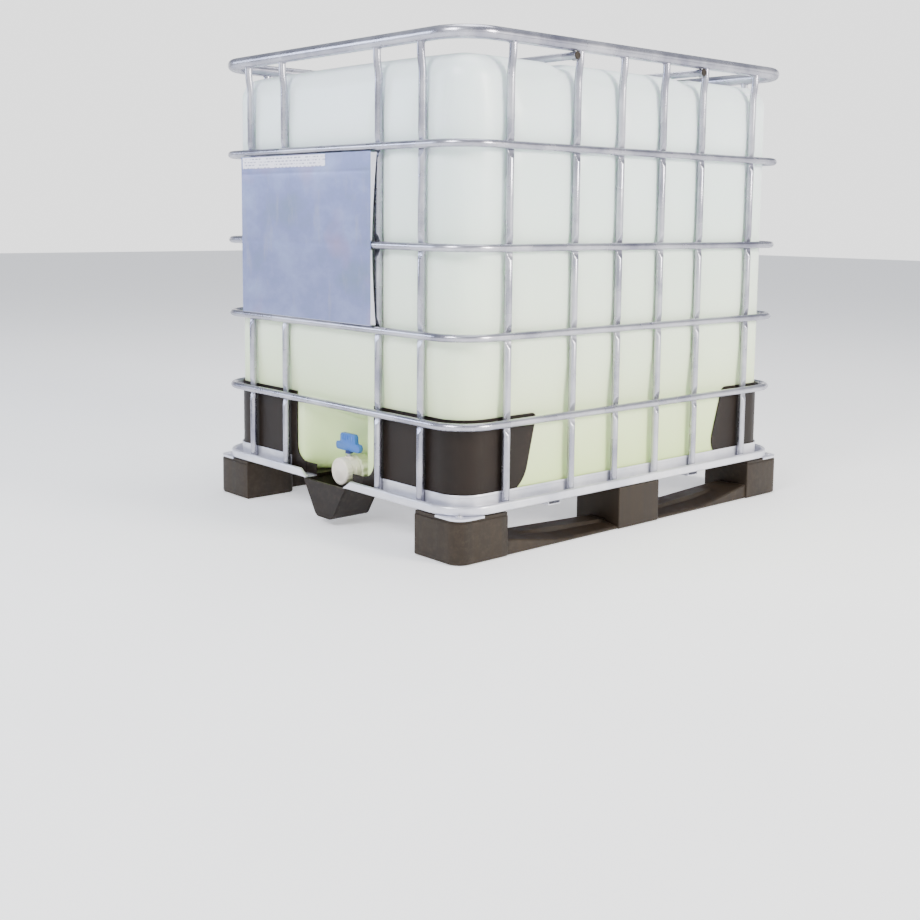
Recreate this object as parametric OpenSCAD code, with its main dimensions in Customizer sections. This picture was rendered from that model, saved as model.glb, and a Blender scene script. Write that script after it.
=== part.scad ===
// Intermediate bulk container: a blown plastic bottle in a welded tube cage,
// standing on a steel tray frame with plastic feet.
// Millimetres. +Z up, origin on the floor under the middle of the pallet,
// the outlet faces -Y, the width runs along X and the length along Y.

/* [Overall size] */
// Width over the cage, along X
cage_w = 1000; // [990:2:1010]
// Length over the cage, along Y
cage_l = 1200; // [1190:2:1210]
// Height from the floor to the top of the rim
total_h = 1160; // [1158:1:1166]
// Height of the feet, up to the underside of the tray frame
foot_h = 104; // [103:0.5:105]

/* [Cage tubes] */
// Diameter of the ring tubes, uprights and top bars
tube_d = 18; // [17.6:0.1:18.2]
// Wall of those tubes
tube_wall = 1.5; // [1.2:0.1:1.8]
// Diameter of the top rim tube
rim_d = 30; // [29:0.5:31]
// Wall of the top rim tube
rim_wall = 2; // [1.6:0.1:2.4]
// Bend radius of the cage tubes at the corners, to the tube's middle
cage_bend = 90; // [86:1:94]
// Height of the lowest ring
ring_1_z = 300; // [296:1:304]
// Height of the second ring
ring_2_z = 495; // [490:1:500]
// Height of the third ring
ring_3_z = 690; // [680:1:700]
// Height of the highest ring
ring_4_z = 913; // [905:1:920]
// Inner uprights of the front and the rear, from the middle
front_post_in = 192; // [190:1:196]
// Outer uprights of the front and the rear, from the middle
front_post_out = 347; // [340:1:352]
// Spacing of the two inner uprights of a long side, from the middle
side_post_in = 77; // [72:1:82]
// Middle uprights of a long side, from the middle
side_post_mid = 230; // [226:1:234]
// Outer uprights of a long side, from the middle
side_post_out = 441; // [436:1:446]
// Radius of the pressed dimples that let an upright pass behind a ring
dimple_r = 60; // [50:5:80]

/* [Tray frame] */
// Thickness of the tray frame and pan sheet
sheet = 2; // [1.6:0.1:2.2]
// Height of the tray frame's inner upstand
upstand_h = 40; // [30:1:42]
// Height of the rolled outer bead
bead_h = 21; // [18:1:24]
// Thickness of the rolled outer bead
bead_t = 10; // [9:0.5:10]
// Half width of the gap in the front of the tray frame
front_gap = 80; // [78:1:82]

/* [Feet] */
// Width and length of a foot
foot_w = 150; // [140:2:150]
// Corner radius of the pallet
pallet_r = 35; // [34:1:36]
// Wall of a foot
foot_wall = 6; // [4:0.5:8]
// Height of a runner where it leaves the corner foot
runner_h = 38; // [32:1:40]
// Height of the drip chute's lower end above the floor
chute_low = 16; // [8:1:24]

/* [Bottle] */
// Wall of the bottle
bottle_wall = 2.5; // [2:0.1:3]
// Height of the bottle's top
bottle_top = 1115; // [1112:1:1117]
// Corner radius of the bottle, seen from above
bottle_r = 72; // [66:1:76]
// Radius of the scooped recess round the outlet valve
scoop_r = 130; // [129:0.5:131]
// Bore of the outlet
outlet_bore = 50; // [48:1:51]
// Height of the outlet's middle above the floor
outlet_z = 126; // [125:0.5:127]
// Bore of the fill neck
neck_bore = 142; // [138:1:143]

/* [Corner protectors] */
// Height of the top of the black corner protectors
guard_top = 312; // [311:1:330]
// Thickness of the corner protectors and of the liner
guard_t = 2.5; // [2:0.1:2.6]
// Half width of the open window between the corner protectors
window_half = 160; // [155:1:165]

/* [Hidden] */

$fn = 48;
eps = 0.1;
far = 2000;
fit = 0.05;

// Colours
steel = "lightsteelblue";
black = "dimgray";
milky = "lightcyan";
cream = "antiquewhite";
blue = "steelblue";

// Cage, measured from the middle to the line of each tube
tube_r = tube_d / 2;
rim_r = rim_d / 2;
half_w = cage_w / 2;
half_l = cage_l / 2;
post_inset = 20;
rim_z = total_h - rim_r;
rings = [ring_1_z, ring_2_z, ring_3_z, ring_4_z];
dimple_depth = post_inset < tube_d + tube_r ? tube_d - (post_inset - tube_r) + 0.2 : 0;

// Upper end of an upright: it leans outwards over bend_h to the line of the rim
bend_out = post_inset - rim_r;
bend_h = 50;
bend_top = rim_z - rim_r - 12;
front_places = [-front_post_out, -front_post_in, front_post_in, front_post_out];
side_places = [-side_post_out, -side_post_mid, -side_post_in,
    side_post_in, side_post_mid, side_post_out];

// Top bars
bar_z = rim_z - rim_r - tube_r - 0.2;
bar_half = half_w - 6;
bar_beside = tube_d + 1.5;
bar_front_y = -side_post_mid - bar_beside;
bar_rear_y = side_post_mid - bar_beside;
bar_screw_x = half_w - rim_r;
bar_screw_r = 3;
bar_screw_len = 33;
insert_r = 5;
insert_h = 11;
plug_lip = 3;
plug_depth = 5;

// Tray frame, measured outwards from the line of the uprights
frame_z = foot_h;
frame_bend = 80;
upstand_out = tube_r + 0.5;
upstand_in = upstand_out + sheet;
frame_floor = 14.5;
bead_out = post_inset;
bead_wall = 1.5;
chamfer = 26;
upstand_gap = front_post_in - 7;
pan_half_w = half_w - post_inset - upstand_in - 0.2;
pan_half_l = half_l - post_inset - upstand_in - 0.2;
pan_r = frame_bend - upstand_in;
pan_top = frame_z + sheet;
notch_y = 408;
ear_reach = 106;
ear_r = 9;
ear_x = half_w - 100 + ear_reach * cos(45);
ear_y = half_l - 100 + ear_reach * sin(45);
corner_plate_w = 78;
plate_drop = 5;
plate_t = 1.5;

// Screws
screw_r = 3;
screw_head_r = 5.5;
screw_head_h = 2.8;
screw_len = 8;

// Feet
foot_half = foot_w / 2;
foot_x = half_w - foot_half;
foot_y = half_l - foot_half;
foot_top_wall = 10;
foot_inner_r = 15;
mid_screw_gap = 45;
corner_screw_in = 35;
corner_screw_out = 15;
runner_in = half_w - 100;
runner_out = half_w - 5;
runner_split = half_w - 50;
runner_taper_y = 270;
runner_low = 8;
beam_x = 220;
beam_y = 262;
beam_h = 20;
beam_end_gap = 110;
hat_half = 20;
hat_flange = 14;
cross_gap = hat_half + hat_flange - 1;
cross_end = pan_half_w - 8;

// Drip chute and liner
chute_back = 490;
chute_top = foot_h - 0.1;
chute_wall = 5;
chute_low_half = 33;
chute_high_half = front_gap + 8;
chute_drain_r = 8;
chute_slope = (chute_high_half - chute_low_half) / (chute_top - chute_low);
trough_half = front_gap - 2;
trough_low = 82.5;
liner_low = pan_top + screw_head_h + 0.4;
liner_lip = 135;

// Corner protectors, just inside the upstand
guard_half_w = half_w - post_inset - upstand_in - 0.3;
guard_half_l = half_l - post_inset - upstand_in - 0.3;
guard_low = pan_top + 1;
guard_r = bottle_r + 1;
guard_front_top_y = 334;
guard_front_low_y = 382;
guard_rear_top_y = 367;
guard_rear_low_y = 306;
window_r = 40;

// Identification plate and its label
plate_left = -361;
plate_right = 190;
plate_y = half_l + 0.1;
id_plate_t = 1;
plate_low = ring_2_z + tube_r;
plate_high = ring_4_z - tube_r - 1;
flange_w = 14;
flange_root = 3;
flange_cut = 11;
label_right = 12;
label_h = 28;
label_t = 0.3;

// Bottle
bottle_half_w = guard_half_w - guard_t - 0.9;
bottle_half_l = guard_half_l - guard_t - 0.9;
bottle_low = liner_low + guard_t + 0.3;
shoulder_r = 55;
heel_h = 24;
groove_r = 25;
groove_z = bottle_top + 5;
dish_r = 125;
dish_z = bottle_top - 18;
neck_top = dish_z + 33;
neck_r = neck_bore / 2;
neck_wall = 4;
sump_r = 33;
sump_back = 425;
boss_y = 470;
stub_y = 497;
stub_r = 29;
bore_r = outlet_bore / 2;
scoop_back_z = 250;
scoop_front_z = 302;

// Fill lid and vent plug
lid_r = 88;
lid_low = neck_top - 20;
lid_plate_z = neck_top + 2.2;
lid_top = lid_plate_z + 6;
lid_lug = 3;
vent_boss_top = lid_top + 4;
vent_boss_low = lid_plate_z - 6;
vent_bore_r = 18;
vent_head_r = 24;
vent_boss_r = 28;
lid_lugs = 12;
lid_ribs = 6;
rib_h = 5;
rib_w = 6;
grip_pin_r = 1.5;

// Outlet valve, measured forwards (towards -Y) from the middle of the container
gasket_y = stub_y + 2;
flange_y = gasket_y + 4;
nut_lip_y = flange_y + 4.2;
chamber_back = 509;
nut_front = chamber_back - 0.2;
chamber_front = 534;
thread_front = 548;
thread_r = 29;
chamber_r = 33;
stem_y = 522;
stem_r = 5;
disc_r = 24.6;
disc_t = 5;
hub_r = 8;
seat_t = 20;
disc_reach = 60;
seat_r = 27.5;
stem_low = outlet_z - 28.5;
boss_r = 11;
boss_top_z = outlet_z + chamber_r + 3;
seal_r = 8;
nut_r = 38;
nut_back = 479.5;
nut_bore_r = 32;
nut_lip_r = 28.3;
nut_lugs = 8;
flange_r = 31.5;
cap_r = 34;
cap_front = 553;
cap_back = chamber_front + 0.6;
cap_lugs = 12;
cap_lug_h = 0.8;
handle_low = outlet_z + chamber_r + 10;
wing_low = 175;
wing_top = 197;
wing_half = 49;
grip_half = 31;
grip_top = 219;
grip_t = 12;
grip_corner_r = 8;
lever_hub_r = 10;
socket_h = 12;
lever_screw_r = 2.5;
lever_screw_head_r = 4.8;

// ---------- Shapes that several parts use ----------

// A rectangle with round corners, centred
module rounded_rect(w, l, r) {
    square([w, l - 2 * r], center = true);
    square([w - 2 * r, l], center = true);
    for (sx = [-1, 1], sy = [-1, 1])
        translate([sx * (w / 2 - r), sy * (l / 2 - r)]) circle(r);
}

// A plate with round corners lying flat, from z0 to z1
module slab(hw, hl, r, z0, z1) {
    translate([0, 0, z0]) linear_extrude(z1 - z0) rounded_rect(2 * hw, 2 * hl, r);
}

// A box from one corner to the opposite one
module block(from, to) {
    translate(from) cube(to - from);
}

// A section carried once round a rounded rectangle; its x points outwards
module loop_sweep(hw, hl, r) {
    for (k = [0:3]) {
        along = k % 2 == 0 ? hl : hw;
        out = k % 2 == 0 ? hw : hl;
        rotate([0, 0, 90 * k]) {
            translate([out, 0, 0]) rotate([90, 0, 0])
                linear_extrude(2 * (along - r), center = true) children();
            translate([out - r, along - r, 0])
                rotate_extrude(angle = 90) translate([r, 0]) children();
        }
    }
}

module tube_section(r, wall) {
    difference() {
        circle(r);
        circle(r - wall);
    }
}

// Extrudes a section drawn in X and Z along Y, from y0 to y1
module along_y(y0, y1) {
    translate([0, y1, 0]) rotate([90, 0, 0]) linear_extrude(y1 - y0) children();
}

// Extrudes a section drawn in Y and Z along X, from x0 to x1
module along_x(x0, x1) {
    translate([x0, 0, 0]) rotate([90, 0, 90]) linear_extrude(x1 - x0) children();
}

// A round bar along Y on the outlet's axis, from y0 forwards to y1
module outlet_rod(r, y0, y1) {
    translate([0, -y0, outlet_z]) rotate([90, 0, 0]) cylinder(r = r, h = y1 - y0);
}

module outlet_ring(r_out, r_in, y0, y1) {
    difference() {
        outlet_rod(r_out, y0, y1);
        outlet_rod(r_in, y0 - 1, y1 + 1);
    }
}

module ring(r_out, r_in, z0, z1) {
    translate([0, 0, z0]) difference() {
        cylinder(r = r_out, h = z1 - z0);
        translate([0, 0, -1]) cylinder(r = r_in, h = z1 - z0 + 2);
    }
}

// ---------- Feet, runners and beams ----------

// Places of the frame screws in the foot whose middle is at [x, y]
function foot_screws(x, y) =
    y == 0 ? [for (s = [-1, 1]) [x, y + mid_screw_gap * s]]
    : x == 0 ? [for (s = [-1, 1]) [x + mid_screw_gap * s, y]]
    : [[x - corner_screw_in * sign(x), y + corner_screw_out * sign(y)],
        [x + corner_screw_out * sign(x), y - corner_screw_in * sign(y)]];

module pallet_outline(z0, z1, inset = 0) {
    slab(half_w - inset, half_l - inset, pallet_r - inset, z0, z1);
}

// Footprint of a foot as a slab, with its outer faces on the pallet outline
module foot_slab(x, y, inset, z0, z1) {
    sx = sign(x);
    sy = sign(y);
    reach = 20;
    intersection() {
        pallet_outline(z0, z1, inset);
        translate([x + sx * reach / 2, y + sy * reach / 2, 0])
            slab(foot_half + abs(sx) * reach / 2 - inset, foot_half + abs(sy) * reach / 2 - inset,
                foot_inner_r - inset, z0, z1);
    }
}

// Thin corner plate: a flat sheet with an edge turned down over the foot
module corner_plate_shape(clear) {
    difference() {
        intersection() {
            pallet_outline(foot_h - plate_drop - clear, foot_h + clear);
            block([half_w - corner_plate_w - clear, half_l - corner_plate_w - clear, 0],
                [far, far, foot_h + clear]);
        }
        pallet_outline(0, foot_h - plate_t - clear, plate_t + clear);
    }
}

module foot(x, y) {
    color(black) difference() {
        foot_slab(x, y, 0, 0, foot_h);
        foot_slab(x, y, foot_wall, foot_wall, foot_h - foot_top_wall);
        for (p = foot_screws(x, y))
            translate([p[0], p[1], foot_h - screw_len - eps]) cylinder(r = screw_r + fit, h = far);
        if (x != 0 && y != 0) {
            for (mx = [0, 1], my = [0, 1])
                mirror([mx, 0, 0]) mirror([0, my, 0]) corner_plate_shape(eps);
            translate([sign(x) * ear_x, sign(y) * ear_y, foot_h - screw_len - eps])
                cylinder(r = screw_r + fit, h = far);
        }
    }
}

// Runner along a long side, from a corner foot at -Y to the middle foot
module runner_right_front() {
    y0 = half_l - foot_w - 0.1;
    y1 = foot_half + 0.1;
    color(black) {
        along_x(runner_in, runner_split)
            polygon([[-y0, 0], [-y1, 0], [-y1, runner_h / 2], [-y0, runner_h - 2]]);
        along_x(runner_split, runner_out)
            polygon([[-y0, 0], [-y1, 0], [-y1, runner_low], [-runner_taper_y, runner_low],
                [-y0, runner_h]]);
    }
}

module hat_section() {
    translate([-hat_half, foot_h - beam_h]) square([2 * hat_half, sheet]);
    for (s = [-1, 1]) {
        translate([s * (hat_half - sheet / 2) - sheet / 2, foot_h - beam_h]) square([sheet, beam_h]);
        translate([s * (hat_half + hat_flange / 2 - sheet) - hat_flange / 2, foot_h - sheet - eps])
            square([hat_flange, sheet]);
    }
}

module long_beams() {
    color(steel) for (s = [-1, 1])
        translate([s * beam_x, 0, 0]) along_y(-half_l + beam_end_gap, half_l - beam_end_gap) hat_section();
}

module cross_beams() {
    inner_end = beam_x - cross_gap;
    outer_start = beam_x + cross_gap;
    color(steel) for (s = [-1, 1]) translate([0, s * beam_y, 0]) {
        along_x(-inner_end, inner_end) hat_section();
        along_x(-cross_end, -outer_start) hat_section();
        along_x(outer_start, cross_end) hat_section();
    }
}

// Half width of the inside of the chute at height z
function chute_half(z) = chute_low_half + chute_slope * (z - chute_low) - 1.15 * chute_wall;

// Funnel below the outlet: a V seen from the front, open at the top
module drip_chute() {
    in_low = chute_low + chute_wall;
    in_high = chute_top + 10;
    color(black) difference() {
        along_y(-half_l, -chute_back) polygon([[-chute_low_half, chute_low],
            [chute_low_half, chute_low], [chute_high_half, chute_top], [-chute_high_half, chute_top]]);
        along_y(-half_l + chute_wall, -chute_back - chute_wall)
            polygon([[-chute_half(in_low), in_low], [chute_half(in_low), in_low],
                [chute_half(in_high), in_high], [-chute_half(in_high), in_high]]);
        block([-far, -chute_back - 6, trough_low - 0.2], [far, -chute_back + 1, far]);
        translate([0, -(half_l + chute_back) / 2, 0]) cylinder(r = chute_drain_r, h = chute_low + 2 * chute_wall);
    }
}

// ---------- Tray frame, pan and their fasteners ----------

module frame_section() {
    translate([-upstand_in, frame_z]) square([upstand_in + frame_floor, sheet]);
    translate([-upstand_in, frame_z]) square([sheet, upstand_h]);
    difference() {
        bead_section(0);
        bead_section(bead_wall);
    }
}

module bead_section(inset) {
    r = bead_t / 2;
    x = bead_out - r;
    translate([x - r + inset, frame_z + r]) square([bead_t - 2 * inset, bead_h - bead_t]);
    for (z = [frame_z + r, frame_z + bead_h - r]) translate([x, z]) circle(r - inset);
}

module base_frame() {
    color(steel) difference() {
        union() {
            loop_sweep(half_w - post_inset, half_l - post_inset, frame_bend) frame_section();
            for (sx = [-1, 1], sy = [-1, 1]) translate([sx * ear_x, sy * ear_y, frame_z])
                cylinder(r = ear_r, h = sheet);
        }
        block([-front_gap, -far, 0], [front_gap, -notch_y, far]);
        block([-upstand_gap, -far, pan_top + 0.5],
            [upstand_gap, -half_l + post_inset - 1, far]);
        along_y(-half_l - 1, -half_l + bead_t + 1) for (s = [-1, 1])
            polygon([[s * front_gap, frame_z - 1], [s * front_gap, frame_z + chamfer],
                [s * (front_gap + chamfer), frame_z + chamfer]]);
        for (sx = [-1, 1], sy = [-1, 1]) translate([sx * ear_x, sy * ear_y, frame_z - 1])
            cylinder(r = screw_r + fit, h = sheet + 2);
    }
}

function all_foot_middles() = concat(
    [for (sx = [-1, 1], sy = [-1, 0, 1]) [sx * foot_x, sy * foot_y]], [[0, 0], [0, foot_y]]);

module floor_pan() {
    color(steel) difference() {
        slab(pan_half_w, pan_half_l, pan_r, frame_z, pan_top);
        block([-front_gap, -far, 0], [front_gap, -notch_y + 2, far]);
        for (m = all_foot_middles(), p = foot_screws(m[0], m[1]))
            translate([p[0], p[1], 0]) cylinder(r = screw_r + fit, h = far);
    }
}

// Pan-head screw pointing down, its head resting on z
module pan_screw(z, length) {
    translate([0, 0, z]) cylinder(r = screw_head_r, h = screw_head_h);
    translate([0, 0, z - length]) cylinder(r = screw_r, h = length + 1);
}

module frame_screws() {
    color(steel) for (m = all_foot_middles(), p = foot_screws(m[0], m[1]))
        translate([p[0], p[1], 0]) pan_screw(pan_top, screw_len + sheet);
}

module corner_screws() {
    color(steel) for (sx = [-1, 1], sy = [-1, 1])
        translate([sx * ear_x, sy * ear_y, 0]) pan_screw(pan_top, screw_len + sheet);
}

module corner_plates() {
    color(steel) for (mx = [0, 1], my = [0, 1]) mirror([mx, 0, 0]) mirror([0, my, 0])
        difference() {
            corner_plate_shape(0);
            translate([ear_x, ear_y, 0]) cylinder(r = screw_r + fit, h = far);
        }
}

// ---------- Black liner and corner protectors ----------

module drip_liner() {
    half = trough_half - guard_t;
    color(black) {
        difference() {
            slab(guard_half_w - guard_t - 0.2, guard_half_l - guard_t - 0.2, guard_r - guard_t,
                liner_low, liner_low + guard_t);
            block([-half, -far, 0], [half, -notch_y - guard_t, far]);
        }
        // Trough under the valve, open towards the chute
        difference() {
            block([-trough_half, -chute_back - 4, trough_low],
                [trough_half, -notch_y - eps, liner_low + guard_t]);
            block([-half, -far, trough_low + guard_t], [half, -notch_y - guard_t, far]);
        }
        // Turned-down edges beside the valve and the low lip of the window
        for (s = [-1, 1]) {
            translate([s * (half + guard_t / 2), 0, 0])
                block([-guard_t / 2, -guard_half_l + guard_t + 0.2, pan_top - 2],
                    [guard_t / 2, -chute_back, liner_low + guard_t]);
            translate([s * (half + window_half - window_r) / 2, 0, 0])
                block([-(window_half - window_r - half) / 2 + 0.2, -guard_half_l + 0.1, liner_low],
                    [(window_half - window_r - half) / 2 - 0.2, -guard_half_l + guard_t + 0.3, liner_lip]);
        }
    }
}

module guard_shell() {
    difference() {
        slab(guard_half_w, guard_half_l, guard_r, guard_low, guard_top);
        slab(guard_half_w - guard_t, guard_half_l - guard_t, guard_r - guard_t, 0, far);
    }
}

// Window between two corner protectors, with round lower corners
module guard_window() {
    translate([0, liner_lip + far / 2]) rounded_rect(2 * window_half, far, window_r);
}

// A protector of the +X, -Y corner; low_y and high_y set its slanted edge
module guard(low_y, high_y) {
    edge = window_half - window_r + 0.2;
    color(black) difference() {
        intersection() {
            guard_shell();
            along_x(0, far) polygon([[-far, 0], [-low_y, 0], [-low_y, guard_low],
                [-high_y, guard_top], [-high_y, far], [-far, far]]);
        }
        along_y(-far, 0) guard_window();
        block([-far, -far, 0], [edge, 0, far]);
    }
}

// ---------- Cage ----------

module cage_ring(z) {
    color(steel) translate([0, 0, z])
        loop_sweep(half_w - tube_r, half_l - tube_r, cage_bend) tube_section(tube_r, tube_wall);
}

module top_rim() {
    color(steel) difference() {
        translate([0, 0, rim_z])
            loop_sweep(half_w - rim_r, half_l - rim_r, cage_bend) tube_section(rim_r, rim_wall);
        for (s = [-1, 1], y = [bar_front_y, bar_rear_y])
            translate([s * bar_screw_x, y, rim_z - rim_r - 1]) cylinder(r = insert_r + fit, h = rim_r);
    }
}

// Straight leg of an upright, pressed flat behind each ring; inset gives its inside
module post_leg(n, inset) {
    difference() {
        translate([n, 0, pan_top]) cylinder(r = tube_r - inset, h = bend_top - bend_h - pan_top);
        for (z = rings)
            translate([n + tube_r - dimple_depth + dimple_r, 0, z]) rotate([90, 0, 0])
                cylinder(r = dimple_r + inset, h = 3 * tube_d, center = true);
    }
}

// One upright, standing at distance n from the middle and drawn outwards to meet the rim
module post(n) {
    lean = [[1, 0, bend_out / bend_h, n], [0, 1, 0, 0], [0, 0, 1, bend_top - bend_h]];
    difference() {
        post_leg(n, 0);
        post_leg(n, tube_wall);
    }
    multmatrix(lean) linear_extrude(bend_h) tube_section(tube_r, tube_wall);
    difference() {
        translate([n + bend_out, 0, bend_top]) linear_extrude(rim_z - bend_top)
            tube_section(tube_r, tube_wall);
        translate([n + bend_out, 0, rim_z]) rotate([90, 0, 0])
            cylinder(r = rim_r + 0.1, h = 3 * tube_d, center = true);
    }
}

// Uprights of one side of the cage, at places along it
module post_row(n, places, turn) {
    color(steel) rotate([0, 0, turn]) for (p = places) translate([0, p, 0]) post(n);
}

// ---------- Top bars ----------

module top_bar(y) {
    color(steel) difference() {
        translate([-bar_half, y, bar_z]) rotate([0, 90, 0]) linear_extrude(2 * bar_half)
            tube_section(tube_r, tube_wall);
        for (s = [-1, 1]) translate([s * bar_screw_x, y, bar_z - tube_d])
            cylinder(r = bar_screw_r + fit, h = 2 * tube_d);
    }
}

module top_bar_plugs() {
    color(black) for (s = [0, 1], y = [bar_front_y, bar_rear_y]) mirror([s, 0, 0])
        translate([bar_half, y, bar_z]) rotate([0, 90, 0]) {
            cylinder(r = tube_r, h = plug_lip);
            translate([0, 0, -plug_depth])
                cylinder(r = tube_r - tube_wall - fit, h = plug_depth + 1);
        }
}

module top_bar_screws() {
    head_h = screw_head_h + eps;
    color(steel) for (s = [-1, 1], y = [bar_front_y, bar_rear_y])
        translate([s * bar_screw_x, y, bar_z - tube_r - head_h - eps]) {
            cylinder(r = screw_head_r, h = head_h);
            cylinder(r = bar_screw_r, h = bar_screw_len);
        }
}

module top_bar_inserts() {
    low = rim_z - rim_r;
    color(steel) for (s = [-1, 1], y = [bar_front_y, bar_rear_y])
        translate([s * bar_screw_x, y, 0]) ring(insert_r, bar_screw_r + fit, low, low + insert_h);
}

// ---------- Identification plate ----------

// Side edge of the plate, bent back; it is cut away where the ring passes
module plate_flange() {
    cut_low = ring_3_z - flange_cut;
    cut_high = ring_3_z + flange_cut;
    rotate([0, 0, 45]) rotate([90, 0, 0]) linear_extrude(id_plate_t) {
        polygon([[0, plate_low], [flange_w, plate_low + flange_root],
            [flange_root, cut_low], [0, cut_low]]);
        polygon([[0, cut_high], [flange_root, cut_high],
            [flange_w, plate_high - flange_root], [0, plate_high]]);
    }
}

module id_plate() {
    color("lavender") {
        block([plate_left, -plate_y - id_plate_t, plate_low], [plate_right, -plate_y, plate_high]);
        translate([plate_right, -plate_y, 0]) plate_flange();
        translate([plate_left, -plate_y, 0]) mirror([1, 0, 0]) plate_flange();
    }
}

module id_label() {
    y = plate_y + id_plate_t + fit;
    color("white") block([plate_left + 7, -y - label_t, plate_high - label_h - 2],
        [label_right, -y, plate_high - 2]);
}

// ---------- Bottle ----------

// Closed outer form of the bottle; inset shrinks it to the hollow inside
module bottle_form(inset) {
    hw = bottle_half_w - inset;
    hl = bottle_half_l - inset;
    low = bottle_low + inset;
    top = bottle_top - inset;
    difference() {
        intersection() {
            slab(hw, hl, bottle_r - inset, low, top);
            along_y(-far, far) bottle_side(hw, low, top, inset);
            along_x(-far, far) bottle_side(hl, low, top, inset);
        }
        for (y = [bar_front_y, bar_rear_y]) translate([0, y, groove_z]) rotate([0, 90, 0])
            cylinder(r = groove_r + inset, h = far, center = true);
        translate([0, 0, dish_z - inset]) cylinder(r = dish_r + inset, h = far);
        intersection() {
            translate([0, -half_l, 0]) cylinder(r = scoop_r + inset, h = far, center = true);
            along_x(-far, far) polygon([[-far, -far], [0, -far], [0, scoop_back_z + inset],
                [-boss_y, scoop_back_z + inset], [-half_l + 20, scoop_front_z + inset],
                [-far, scoop_front_z + inset]]);
        }
    }
}

// Side view of the bottle: large round shoulders above, slanted heels below
module bottle_side(half, low, top, inset) {
    s = shoulder_r - inset;
    h = heel_h - inset / 2;
    polygon([[-half, low + h], [-half + h, low], [half - h, low], [half, low + h],
        [half, top - s], [-half, top - s]]);
    translate([-half + s, top - s - 1]) square([2 * (half - s), s + 1]);
    for (k = [-1, 1]) translate([k * (half - s), top - s]) circle(s);
}

module bottle() {
    color(milky) difference() {
        union() {
            bottle_form(0);
            translate([0, 0, dish_z - 1]) cylinder(r = neck_r + neck_wall, h = neck_top - dish_z + 1);
            outlet_rod(sump_r, sump_back, boss_y + 3);
            outlet_rod(stub_r, boss_y, stub_y);
        }
        bottle_form(bottle_wall);
        translate([0, 0, dish_z - 20]) cylinder(r = neck_r, h = 80);
        outlet_rod(sump_r - bottle_wall, sump_back + bottle_wall, boss_y);
        outlet_rod(bore_r, boss_y - 1, stub_y + 1);
    }
}

// ---------- Fill lid and vent plug ----------

module fill_lid() {
    color(black) difference() {
        union() {
            translate([0, 0, lid_low]) cylinder(r = lid_r, h = lid_top - lid_low);
            for (k = [1:lid_lugs]) rotate([0, 0, 360 * k / lid_lugs])
                block([lid_r - 2, -5, lid_low], [lid_r + lid_lug, 5, lid_top - 2]);
            for (k = [1:lid_ribs]) rotate([0, 0, 360 * k / lid_ribs])
                block([vent_boss_r - 2, -rib_w / 2, lid_top - 1], [lid_r - 6, rib_w / 2, lid_top + rib_h]);
            translate([0, 0, vent_boss_low]) cylinder(r = vent_boss_r, h = vent_boss_top - vent_boss_low);
        }
        difference() {
            translate([0, 0, lid_low - 1])
                cylinder(r = neck_r + neck_wall + 0.3, h = lid_plate_z - lid_low + 1);
            translate([0, 0, vent_boss_low]) cylinder(r = vent_boss_r, h = far);
        }
        cylinder(r = vent_bore_r, h = far);
    }
}

module fill_lid_gasket() {
    color("black") ring(neck_r + neck_wall - 0.2, neck_r + 0.3, neck_top + fit, lid_plate_z - fit);
}

module vent_plug() {
    color(black) difference() {
        union() {
            translate([0, 0, vent_boss_top + 2]) cylinder(r = vent_head_r, h = 5);
            translate([0, 0, vent_boss_low + 4])
                cylinder(r = vent_bore_r - 0.3, h = vent_boss_top - vent_boss_low - 1);
            block([-20, -rib_w / 2, vent_boss_top + 6], [20, rib_w / 2, vent_boss_top + 6 + rib_h]);
        }
        translate([0, 0, vent_boss_low]) cylinder(r = vent_bore_r - 4, h = vent_boss_top - vent_boss_low);
        for (x = [-10, 10]) translate([x, 9, vent_boss_low]) cylinder(r = grip_pin_r, h = 40);
    }
}

module vent_plug_gasket() {
    color("black") ring(vent_head_r - 1, vent_bore_r + 0.3, vent_boss_top + fit, vent_boss_top + 2 - fit);
}

// ---------- Outlet valve ----------

module outlet_nut() {
    color(cream) difference() {
        union() {
            outlet_rod(nut_r, nut_back, nut_front);
            for (k = [1:nut_lugs]) translate([0, 0, outlet_z]) rotate([0, 360 * k / nut_lugs, 0])
                block([-4, -nut_front, -nut_r], [4, -nut_back, 0]);
        }
        outlet_rod(stub_r + fit, boss_y, stub_y + 0.1);
        outlet_rod(nut_bore_r, stub_y, nut_lip_y - 1);
        outlet_rod(nut_lip_r, sump_back, half_l);
    }
}

module outlet_gasket() {
    color("black") outlet_ring(stub_r - 0.5, bore_r + 0.1, stub_y + fit, gasket_y - fit);
}

module valve_body() {
    color(cream) difference() {
        union() {
            outlet_rod(flange_r, gasket_y, flange_y);
            outlet_rod(nut_lip_r - 0.3, gasket_y, chamber_back + 1);
            outlet_rod(chamber_r, chamber_back, chamber_front);
            outlet_rod(thread_r, chamber_back, thread_front);
            translate([0, -stem_y, outlet_z]) cylinder(r = boss_r, h = boss_top_z - outlet_z);
        }
        outlet_rod(bore_r, gasket_y - 1, thread_front + 1);
        outlet_rod(seat_r, stem_y - seat_t / 2, stem_y + seat_t / 2);
        translate([0, -stem_y, stem_low - 0.5]) cylinder(r = stem_r + fit, h = far);
        translate([0, -stem_y, boss_top_z - 3]) cylinder(r = seal_r, h = far);
    }
}

module valve_seat_ring() {
    color("dimgray") difference() {
        outlet_ring(seat_r - fit, disc_r + 0.1, stem_y - seat_t / 2 + fit, stem_y + seat_t / 2 - fit);
        translate([0, -stem_y, 0]) cylinder(r = hub_r + 0.3, h = far);
    }
}

module valve_stem() {
    color("silver") translate([0, -stem_y, stem_low])
        cylinder(r = stem_r, h = handle_low + socket_h - stem_low);
}

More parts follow.
